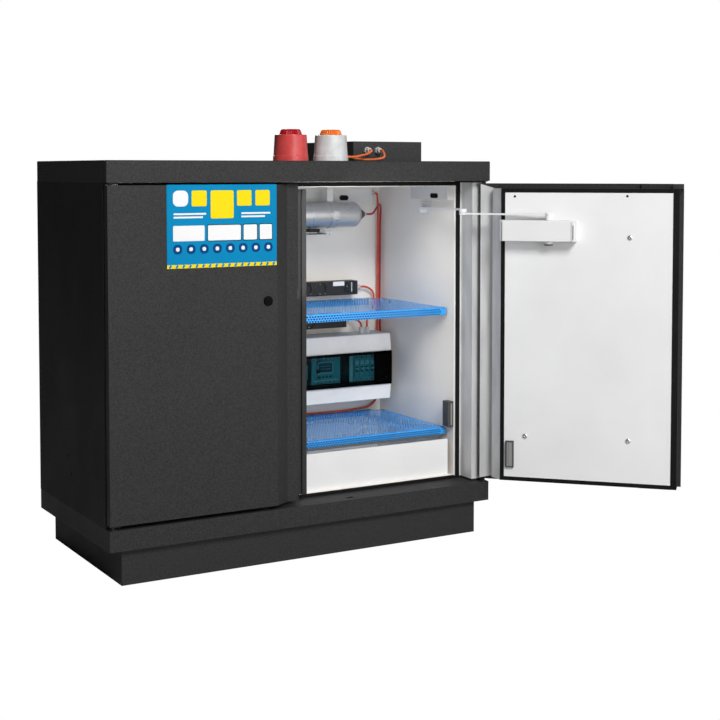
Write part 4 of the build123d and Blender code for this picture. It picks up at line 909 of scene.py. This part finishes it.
def make_release():
    """The release under the bottle: a ribbed black block, a grey barrel and a white cross handle."""
    low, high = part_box("release_head")
    y = (low.y + high.y) / 2
    block_right = low.x + 0.036
    shape = bmesh.new()
    top = high.z
    middle = ((low.x + block_right) / 2, y, top - 0.011)
    upward = facing(middle, (0, 0, 1), (0, 1, 0))
    add_plate(shape, upward, block_right - low.x, high.y - low.y, 0.011, 0.0015, 0.0008)
    ribs = 6
    for rib in range(ribs):
        x = low.x + (rib + 0.5) * (block_right - low.x) / ribs
        add_plate(shape, facing((x, low.y, top - 0.0055), FORWARD), 0.0026, 0.009, 0.0014, 0.0006, 0.0004)
    block = add_piece("release_block", shape, socket_black)
    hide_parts("release_head")
    shape = bmesh.new()
    base_width = 0.058
    add_plate(shape, facing((low.x + base_width / 2, y, low.z + 0.002), (0, 0, 1), (0, 1, 0)), base_width,
              high.y - low.y, 0.003, 0.002, 0.0006)
    add_piece("release_base", shape, switch_metal)
    shape = bmesh.new()
    barrel_middle = (0, y, top - 0.0075)
    barrel = [(0, block_right), (0.0072, block_right), (0.0072, block_right + 0.010),
              (0.0060, block_right + 0.0115),
              (0.0060, block_right + 0.020), (0.0048, block_right + 0.0215), (0, block_right + 0.0215)]
    add_turned(shape, barrel, facing(barrel_middle, (1, 0, 0)), 32)
    add_piece("release_barrel", shape, grey_plastic)
    shape = bmesh.new()
    cross = (0.2757, low.y, (low.z + top) / 2 - 0.0022)
    add_plate(shape, facing(cross, FORWARD), 0.032, 0.0042, 0.004, 0.0018, 0.0008)
    add_plate(shape, facing(cross, FORWARD), 0.0042, 0.0150, 0.004, 0.0018, 0.0008)
    hub = [(0, 0), (0.0048, 0), (0.0048, 0.0052), (0.0040, 0.006), (0, 0.006)]
    add_turned(shape, hub, facing(cross, FORWARD), 24)
    add_turned(shape, [(0.0022, 0), (0.0022, 0.014)], facing(cross, (0, 1, 0)), 16)
    add_piece("release_handle", shape, closer_paint)


make_bottle()
make_release()
refinish_faces("bottle_straps", stainless, lambda centre, normal: centre.z < BOTTLE_Z + BOTTLE_RADIUS + 0.004)

# ------------------------------------------------------------
# Vents
# ------------------------------------------------------------

VENT_THICKNESS = 0.022
VENT_FRONT = -0.197
VENT_SLOT = (-0.123, 1.0065)  # Y and Z of its middle
SLOT_SIZE = (0.030, 0.013)
DUCT_SLOT_X = (-0.4315, -0.2315, -0.0315, 0.1685, 0.3685)


def add_slot(shape, hole, place, outward, size):
    """A pressed rim round an oval hole: the rim goes in shape, the dark floor in hole."""
    matrix = facing(place, outward)
    rim_width = 0.0016
    outer = rounded_outline(size[0] + 2 * rim_width, size[1] + 2 * rim_width, size[1] / 2 + rim_width, 10)
    inner = rounded_outline(size[0], size[1], size[1] / 2 - 0.0001, 10)
    rings = []
    for outline, rise in ((outer, 0.0), (outer, 0.0005), (inner, 0.0007), (inner, 0.0)):
        rings.append([shape.verts.new(matrix @ Vector((x, y, rise))) for x, y in outline])
    join_rings(shape, rings)
    add_plate(hole, matrix, size[0], size[1], 0.0002, size[1] / 2 - 0.0001)


def make_vents():
    """The supply vent on the right wall and the oval slots in it and in the exhaust duct."""
    low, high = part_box("supply_vent")
    shape = bmesh.new()
    length = high.y - VENT_FRONT
    middle = (high.x - VENT_THICKNESS, (high.y + VENT_FRONT) / 2, (low.z + high.z) / 2)
    matrix = facing((high.x, middle[1], middle[2]), (-1, 0, 0))
    add_plate(shape, matrix, length, high.z - low.z, VENT_THICKNESS, 0.001, 0.0008)
    vent = add_piece("supply_vent_case", shape, duct_grey)
    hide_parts("supply_vent")
    rims, holes = bmesh.new(), bmesh.new()
    add_slot(rims, holes, (middle[0], VENT_SLOT[0], VENT_SLOT[1]), (-1, 0, 0), (0.040, 0.012))
    duct_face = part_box("exhaust_duct")[0].y
    for x in DUCT_SLOT_X:
        add_slot(rims, holes, (x, duct_face, 0.996), FORWARD, SLOT_SIZE)
    add_piece("vent_slot_rims", rims, switch_metal)
    add_piece("vent_slot_holes", holes, dark_hole)


make_vents()

# ------------------------------------------------------------
# Power strips
# ------------------------------------------------------------

SOCKET_COUNT = 7
SOCKET_PITCH = 0.052
SOCKET_START = 0.036
SOCKET_RADIUS = 0.0205
SOCKET_FLOOR = 0.0095  # how deep the round well goes behind the strip's face


def make_sockets(strip):
    """Rims, contact holes and earth clips in one strip's round sockets."""
    low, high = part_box(strip)
    rims, holes, clips = bmesh.new(), bmesh.new(), bmesh.new()
    middle_z = (low.z + high.z) / 2
    for place in range(SOCKET_COUNT):
        x = low.x + SOCKET_START + place * SOCKET_PITCH
        face = facing((x, low.y, middle_z), FORWARD)
        rim = [(SOCKET_RADIUS - 0.0012, -0.002), (SOCKET_RADIUS - 0.0010, 0.0007), (SOCKET_RADIUS, 0.0011),
               (SOCKET_RADIUS + 0.0012, 0.0007), (SOCKET_RADIUS + 0.0014, 0.0)]
        add_turned(rims, rim, face, 40)
        floor_y = low.y + SOCKET_FLOOR
        for side in (-1, 1):
            hole = facing((x + side * 0.0095, floor_y - 0.0003, middle_z - side * 0.002), FORWARD)
            add_turned(holes, [(0.0029, 0.0), (0.0029, 0.0003), (0.0022, 0.0004), (0, 0.0002)], hole, 20)
            clip = facing((x, floor_y - 0.0002, middle_z + side * 0.0158), FORWARD)
            add_plate(clips, clip, 0.0055, 0.0022, 0.0060, 0.0006, 0.0005)
        add_turned(holes, [(0.0022, 0.0), (0.0022, 0.0003), (0, 0.0003)],
                   facing((x, floor_y - 0.0002, middle_z - 0.0115), FORWARD), 16)
    add_piece(f"{strip}_rims", rims, gloss_black)
    add_piece(f"{strip}_contact_holes", holes, dark_hole)
    add_piece(f"{strip}_earth_clips", clips, pin_steel)


def make_strip_fittings():
    """The upper strip's blank label, pale marking line and end-cap seams."""
    low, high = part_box("upper_power_strip")
    shape = bmesh.new()
    add_plate(shape, facing((0.349, low.y, 0.7224), FORWARD), 0.041, 0.0138, 0.0006, 0.0012, 0.0002)
    add_piece("strip_label", shape, white_panel)
    shape = bmesh.new()
    add_plate(shape, facing((0.3965, low.y, 0.7105), FORWARD), 0.0036, 0.030, 0.0006, 0.0008, 0.0002)
    add_piece("strip_marker", shape, grey_plastic)
    shape = bmesh.new()
    for strip in ("upper_power_strip", "lower_power_strip"):
        low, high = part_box(strip)
        for x in (low.x + 0.012, high.x - 0.012):
            seam = facing((x, low.y, (low.z + high.z) / 2), FORWARD)
            add_plate(shape, seam, 0.0010, high.z - low.z - 0.002, 0.0003, 0.0004)
    add_piece("strip_seams", shape, dark_hole)
    rocker_low, rocker_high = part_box("strip_rocker")
    shape = bmesh.new()
    mark = (rocker_low + rocker_high) / 2
    mark = Vector((mark.x, rocker_low.y + 0.0012, mark.z + 0.0055))
    add_plate(shape, facing(mark, FORWARD), 0.0016, 0.0050, 0.0014, 0.0005, 0.0002)
    add_piece("rocker_mark", shape, grey_plastic, "rocker")


gloss_black = moulded("gloss_black_plastic", (0.014, 0.014, 0.014, 1), roughness=0.25)
for strip in ("upper_power_strip", "lower_power_strip"):
    make_sockets(strip)
make_strip_fittings()

# ------------------------------------------------------------
# Modules in the distribution box
# ------------------------------------------------------------

ROW_FACE = 0.147
METER = (0.2255, 0.3285)  # the wide meter module, along X
SPACER = (0.330, 0.3605)  # blank cover between the groups
PALE_STRIP = (0.3615, 0.3740)  # a narrow pale block between the two groups
BREAKERS = (0.3780, 0.4530)
MODULE_HEIGHT = (0.4125, 0.4970)
WINDOW_HEIGHT = (0.4015, 0.5060)


def add_block(shape, x_range, z_range, thickness, radius=0.0008, bevel=0.0004, face=ROW_FACE):
    """A shallow block on the modules' face."""
    place = (sum(x_range) / 2, face, sum(z_range) / 2)
    width, height = x_range[1] - x_range[0], z_range[1] - z_range[0]
    add_plate(shape, facing(place, FORWARD), width, height, thickness, radius, bevel)


def make_modules():
    """Covers, a meter with its blank screen, breakers with levers, and their terminal screws."""
    blanks = bmesh.new()
    bottom, top = MODULE_HEIGHT
    add_block(blanks, SPACER, WINDOW_HEIGHT, 0.004)
    add_block(blanks, (0.4545, 0.5060), WINDOW_HEIGHT, 0.004)
    add_block(blanks, (0.0995, 0.5055), (top + 0.0005, WINDOW_HEIGHT[1]), 0.003)
    add_block(blanks, (0.0995, 0.5055), (WINDOW_HEIGHT[0], bottom - 0.0005), 0.003)
    add_piece("module_blanks", blanks, socket_black)
    bodies, pale, dark, screws = bmesh.new(), bmesh.new(), bmesh.new(), bmesh.new()
    for x_range in ((METER[0], 0.2430), (0.2570, METER[1])):
        add_block(bodies, x_range, (bottom + 0.001, top - 0.001), 0.0030)
    add_block(pale, (0.247, 0.303), (0.4445, 0.4825), 0.0040)
    add_block(dark, (0.251, 0.299), (0.4500, 0.4790), 0.0045)
    for row in (0.4605, 0.4695):
        add_block(pale, (0.255, 0.292), (row - 0.0008, row + 0.0008), 0.0049)
    for step in range(4):
        add_block(dark, (0.250 + step * 0.013, 0.259 + step * 0.013), (0.4325, 0.4385), 0.0040)
    add_block(pale, (0.233, 0.320), (0.4225, 0.4265), 0.0036)
    count = 4
    width = (BREAKERS[1] - BREAKERS[0]) / count
    for place in range(count):
        left = BREAKERS[0] + place * width
        add_block(bodies, (left + 0.0006, left + width - 0.0006), (0.4270, 0.4830), 0.0065, 0.001, 0.0008)
        add_block(bodies, (left + 0.0006, left + width - 0.0006), (bottom + 0.001, top - 0.001), 0.0020)
        add_block(pale, (left + 0.0030, left + width - 0.0030), (0.4660, 0.4790), 0.0070)
        add_block(dark, (left + 0.0040, left + width - 0.0040), (0.4430, 0.4610), 0.0068)
        add_block(pale, (left + 0.0055, left + width - 0.0055), (0.4500, 0.4565), 0.0125)
    add_block(pale, PALE_STRIP, (bottom, top), 0.0040)
    for place in range(7):
        x = METER[0] + 0.0085 + place * 0.0143
        for z in (bottom + 0.0055, top - 0.0060):
            add_turned(screws, [(0.0030, 0.0032), (0.0030, 0.0038), (0.0024, 0.0040), (0, 0.0034)],
                       facing((x, ROW_FACE, z), FORWARD), 16)
    for place in range(count):
        x = BREAKERS[0] + (place + 0.5) * width
        for z in (bottom + 0.0065, top - 0.0070):
            add_turned(screws, [(0.0034, 0.0020), (0.0034, 0.0028), (0.0026, 0.0030), (0, 0.0024)],
                       facing((x, ROW_FACE, z), FORWARD), 16)
    for name, shape, finish in (("module_bodies", bodies, teal_module), ("module_fields", pale, module_pale),
                                ("module_recesses", dark, module_dark), ("module_screws", screws, pin_steel)):
        add_piece(name, shape, finish)


def make_window_border():
    """The black border printed round the smoked window, broad over the empty right end of the row."""
    low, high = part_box("distribution_window")
    shape = bmesh.new()
    bars = (((low.x + 0.0006, low.x + 0.012), (low.z + 0.0006, high.z - 0.0006)),
            ((0.4470, high.x - 0.0006), (low.z + 0.0006, high.z - 0.0006)),
            ((low.x + 0.0006, high.x - 0.0006), (high.z - 0.0085, high.z - 0.0006)),
            ((low.x + 0.0006, high.x - 0.0006), (low.z + 0.0006, low.z + 0.0085)))
    for x_range, z_range in bars:
        add_block(shape, x_range, z_range, 0.0003, 0.0008, 0.0, low.y)
    add_piece("window_border", shape, border_black, "box_window")


border_black = moulded("border_black", (0.0005, 0.0005, 0.0005, 1), roughness=0.3, sheen=0.03)
make_window_border()
module_pale = moulded("module_field", (0.42, 0.66, 0.68, 1), roughness=0.35)
module_dark = moulded("module_recess", (0.02, 0.11, 0.14, 1), roughness=0.3)
make_modules()

# ------------------------------------------------------------
# Beacons
# ------------------------------------------------------------

SHELL_PROFILE = ((0.0, 0.0), (0.0515, 0.0), (0.0515, 0.0020), (0.0508, 0.0150), (0.0500, 0.0158),
                 (0.0498, 0.0172), (0.0464, 0.0728), (0.0466, 0.0738), (0.0460, 0.0755),
                 (0.0440, 0.0760), (0.0345, 0.0760), (0.0340, 0.0750), (0.0, 0.0750))
LENS_PROFILE = ((0.0330, 0.0752), (0.0330, 0.0775), (0.0318, 0.0785), (0.0316, 0.0825), (0.0300, 0.0835),
                (0.0298, 0.0870), (0.0270, 0.0905), (0.0262, 0.0908), (0.0255, 0.0918), (0.0, 0.0919))
LENS_RIBS = 28
LENS_RIB_DEPTH = 0.0022


def make_beacon(colour, lens, shell_finish, lens_finish):
    """A beacon's tapered shell and its low ribbed lens."""
    low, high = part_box(f"{colour}_beacon_body")
    lens_low, lens_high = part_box(lens)
    foot = Matrix.Translation(((lens_low.x + lens_high.x) / 2, (low.y + high.y) / 2, low.z))
    shape = bmesh.new()
    add_turned(shape, SHELL_PROFILE, foot, 96)
    shell = add_piece(f"{colour}_shell", shape, shell_finish)
    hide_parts(f"{colour}_beacon_body")
    shape = bmesh.new()
    add_turned(shape, LENS_PROFILE, foot, LENS_RIBS * 4, LENS_RIBS, LENS_RIB_DEPTH)
    cap = add_piece(f"{colour}_ribbed_lens", shape, lens_finish, "cabinet", 20)
    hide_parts(lens)


make_beacon("red", "red_beacon_lens", red_shell, red_lens)
make_beacon("white", "amber_beacon_lens", white_shell, amber_lens)


def make_cable_boots():
    """Short sleeves where the two lid cables enter the white beacon's side."""
    low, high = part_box("white_beacon_body")
    middle_y = (low.y + high.y) / 2
    shape = bmesh.new()
    for shift in (-0.015, 0.015):
        boot = [(0.0034, -0.0135), (0.0034, -0.002), (0.0030, 0.0), (0.0026, 0.001)]
        add_turned(shape, boot, facing((high.x, middle_y + shift, low.z + 0.013), (1, 0, 0)), 20)
    add_piece("beacon_cable_boots", shape, lid_sleeve)


make_cable_boots()

# ------------------------------------------------------------
# Door switches
# ------------------------------------------------------------


def make_switch_ribs():
    """A raised rib along each wall switch and along each switch plate on the doors."""
    low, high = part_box("door_switches")
    for side, sign in SIDE_SIGN.items():
        shape = bmesh.new()
        face = facing((sign * (high.x - 0.0075), low.y, (low.z + high.z) / 2), FORWARD)
        add_plate(shape, face, 0.0060, high.z - low.z - 0.012, 0.0008, 0.0015, 0.0004)
        add_piece(f"{side}_switch_rib", shape, switch_light)
        lowest, highest = door_extent(f"{side}_switch_plate", side)
        middle = on_door(side, (lowest[0] + highest[0]) / 2, highest[1], (lowest[2] + highest[2]) / 2)
        shape = bmesh.new()
        width, height = highest[0] - lowest[0], highest[2] - lowest[2]
        face = facing(middle, door_inward(side))
        add_plate(shape, face, width - 0.008, height - 0.008, 0.0006, 0.002, 0.0003)
        add_plate(shape, face, 0.006, height - 0.016, 0.0018, 0.002, 0.0008)
        add_piece(f"{side}_plate_rib", shape, switch_light, f"{side}_door")


switch_light = moulded("switch_rib", (0.24, 0.24, 0.235, 1), roughness=0.35)
make_switch_ribs()

# ------------------------------------------------------------
# Closers and locks
# ------------------------------------------------------------

def make_closer_details(side):
    """End-cap seams and a valve cover on a closer's body, the spindle's cap, and the arm's bolt heads."""
    low, high = door_extent(f"{side}_closer_body", side)
    inward = door_inward(side)
    seams = bmesh.new()
    middle_z = (low[2] + high[2]) / 2
    height = high[2] - low[2]
    for along in (low[0] + 0.010, high[0] - 0.011):
        matrix = facing(on_door(side, along, high[1] - 0.0001, middle_z), inward)
        add_plate(seams, matrix, 0.0011, height * 0.86, 0.0003, 0.0005)
    end = facing(on_door(side, high[0] - 0.006, high[1] - 0.0001, middle_z), inward)
    add_plate(seams, end, 0.0022, height * 0.62, 0.0004, 0.0010)
    add_piece(f"{side}_closer_seams", seams, dark_hole, f"{side}_door")
    pivot = PIVOTS[f"{side}_arm_pivot"]
    cap = bmesh.new()
    foot = Matrix.Translation((pivot.x, pivot.y, low[2]))
    turned_down = foot @ Matrix.Rotation(math.pi, 4, "X")
    cap_profile = [(0.0125, 0.0), (0.0125, 0.003), (0.0110, 0.0045), (0.0045, 0.0048), (0.0040, 0.0035)]
    add_turned(cap, cap_profile + [(0, 0.0035)], turned_down, 32)
    add_piece(f"{side}_spindle_cap", cap, switch_metal, f"{side}_door")
    arm_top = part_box(f"{side}_closer_arm")[1].z
    bolt = bmesh.new()
    head = Matrix.Translation((pivot.x, pivot.y, arm_top))
    bolt_profile = [(0.0115, -0.004), (0.0115, 0.0), (0.0105, 0.0012), (0.0060, 0.0020), (0.0055, 0.0008)]
    add_turned(bolt, bolt_profile + [(0, 0.0008)], head, 32)
    add_piece(f"{side}_arm_bolt", bolt, closer_paint, f"{side}_arm")


def make_key_slot(side):
    """The socket and slot in a lock's face."""
    low, high = door_extent(f"{side}_lock_barrel", side)
    middle = on_door(side, (low[0] + high[0]) / 2, low[1], (low[2] + high[2]) / 2)
    outward = -door_inward(side)
    shape = bmesh.new()
    ring = [(0.0078, 0.0), (0.0078, 0.0006), (0.0068, 0.0009), (0.0064, 0.0003), (0, 0.0002)]
    add_turned(shape, ring, facing(middle, outward), 32)
    add_plate(shape, facing(middle, outward), 0.0022, 0.0090, 0.0006, 0.0009, 0.0002)
    add_piece(f"{side}_key_slot", shape, lock_black, f"{side}_lock")


for side in ("left", "right"):
    make_closer_details(side)
    make_key_slot(side)

# ------------------------------------------------------------
# Free edge of the right door and foot of the plinth
# ------------------------------------------------------------


def make_edge_cap():
    """The block that closes the top of the right door's meeting post, level with its pan."""
    pan_high = door_extent("right_door_pan", "right")[1]
    core_high = door_extent("right_door_core", "right")[1]
    seal_top = door_extent("right_door_seal", "right")[1][2]
    along = (pan_high[0] + 0.0003, core_high[0] - 0.0003)
    inward = (pan_high[1] + 0.0003, core_high[1] - 0.0008)
    shape = bmesh.new()
    middle = on_door("right", sum(along) / 2, sum(inward) / 2, seal_top)
    matrix = facing(middle, (0, 0, 1), door_inward("right"))
    width, depth = along[1] - along[0], inward[1] - inward[0]
    add_plate(shape, matrix, width, depth, EDGE_CAP_TOP - seal_top, 0.0015, 0.0008)
    add_piece("right_edge_cap", shape, charcoal, "right_door")


def make_plinth_trim():
    """A flat strip along the foot of the plinth's cover."""
    low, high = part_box("plinth_cover")
    shape = bmesh.new()
    matrix = facing(((low.x + high.x) / 2, low.y + 0.0004, 0.004), FORWARD)
    add_plate(shape, matrix, high.x - low.x, 0.0078, 0.0006, 0.0003, 0.0002)
    add_piece("plinth_trim", shape, charcoal)


def make_panel_shade_strip():
    """A black strip over the free edge of the right door's inner panel: painted shade for the dark band by
    the seal.
    """
    low, high = door_extent("right_inner_panel", "right")
    shape = bmesh.new()
    middle = on_door("right", high[0] - 0.0012, high[1] + 0.0002, (low[2] + high[2]) / 2)
    add_plate(shape, facing(middle, door_inward("right")), 0.0075, high[2] - low[2], 0.0012, 0.001, 0.0005)
    add_piece("right_panel_painted_shade", shape, seal_rubber, "right_door")


def make_shelf_shade_strip():
    """A dark strip under the lower shelf's front edge over the tray: painted shade for the shadowed gap
    there.
    """
    low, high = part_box("lower_shelf")
    shape = bmesh.new()
    matrix = facing(((low.x + high.x) / 2, low.y + 0.006, low.z - 0.0042), FORWARD)
    add_plate(shape, matrix, high.x - low.x - 0.02, 0.0076, 0.004, 0.001, 0.0008)
    add_piece("lower_shelf_painted_shade", shape, painted_shade_grey)


def is_sill_edge(centre, normal):
    """The front edges just above the sill."""
    return normal.y < -0.9 and centre.z < SILL_EDGE_TOP


SILL_EDGE_TOP = 0.17
# painted shade: dark grey for the strip under the lower shelf's lip
painted_shade_grey = moulded("painted_shade_grey", (0.10, 0.10, 0.10, 1), roughness=0.5)
make_panel_shade_strip()
make_shelf_shade_strip()
refinish_faces("cavity_liners", seal_rubber, is_sill_edge)
refinish_faces("insulated_walls", charcoal, is_sill_edge)
EDGE_CAP_TOP = 1.0448
make_edge_cap()
make_plinth_trim()
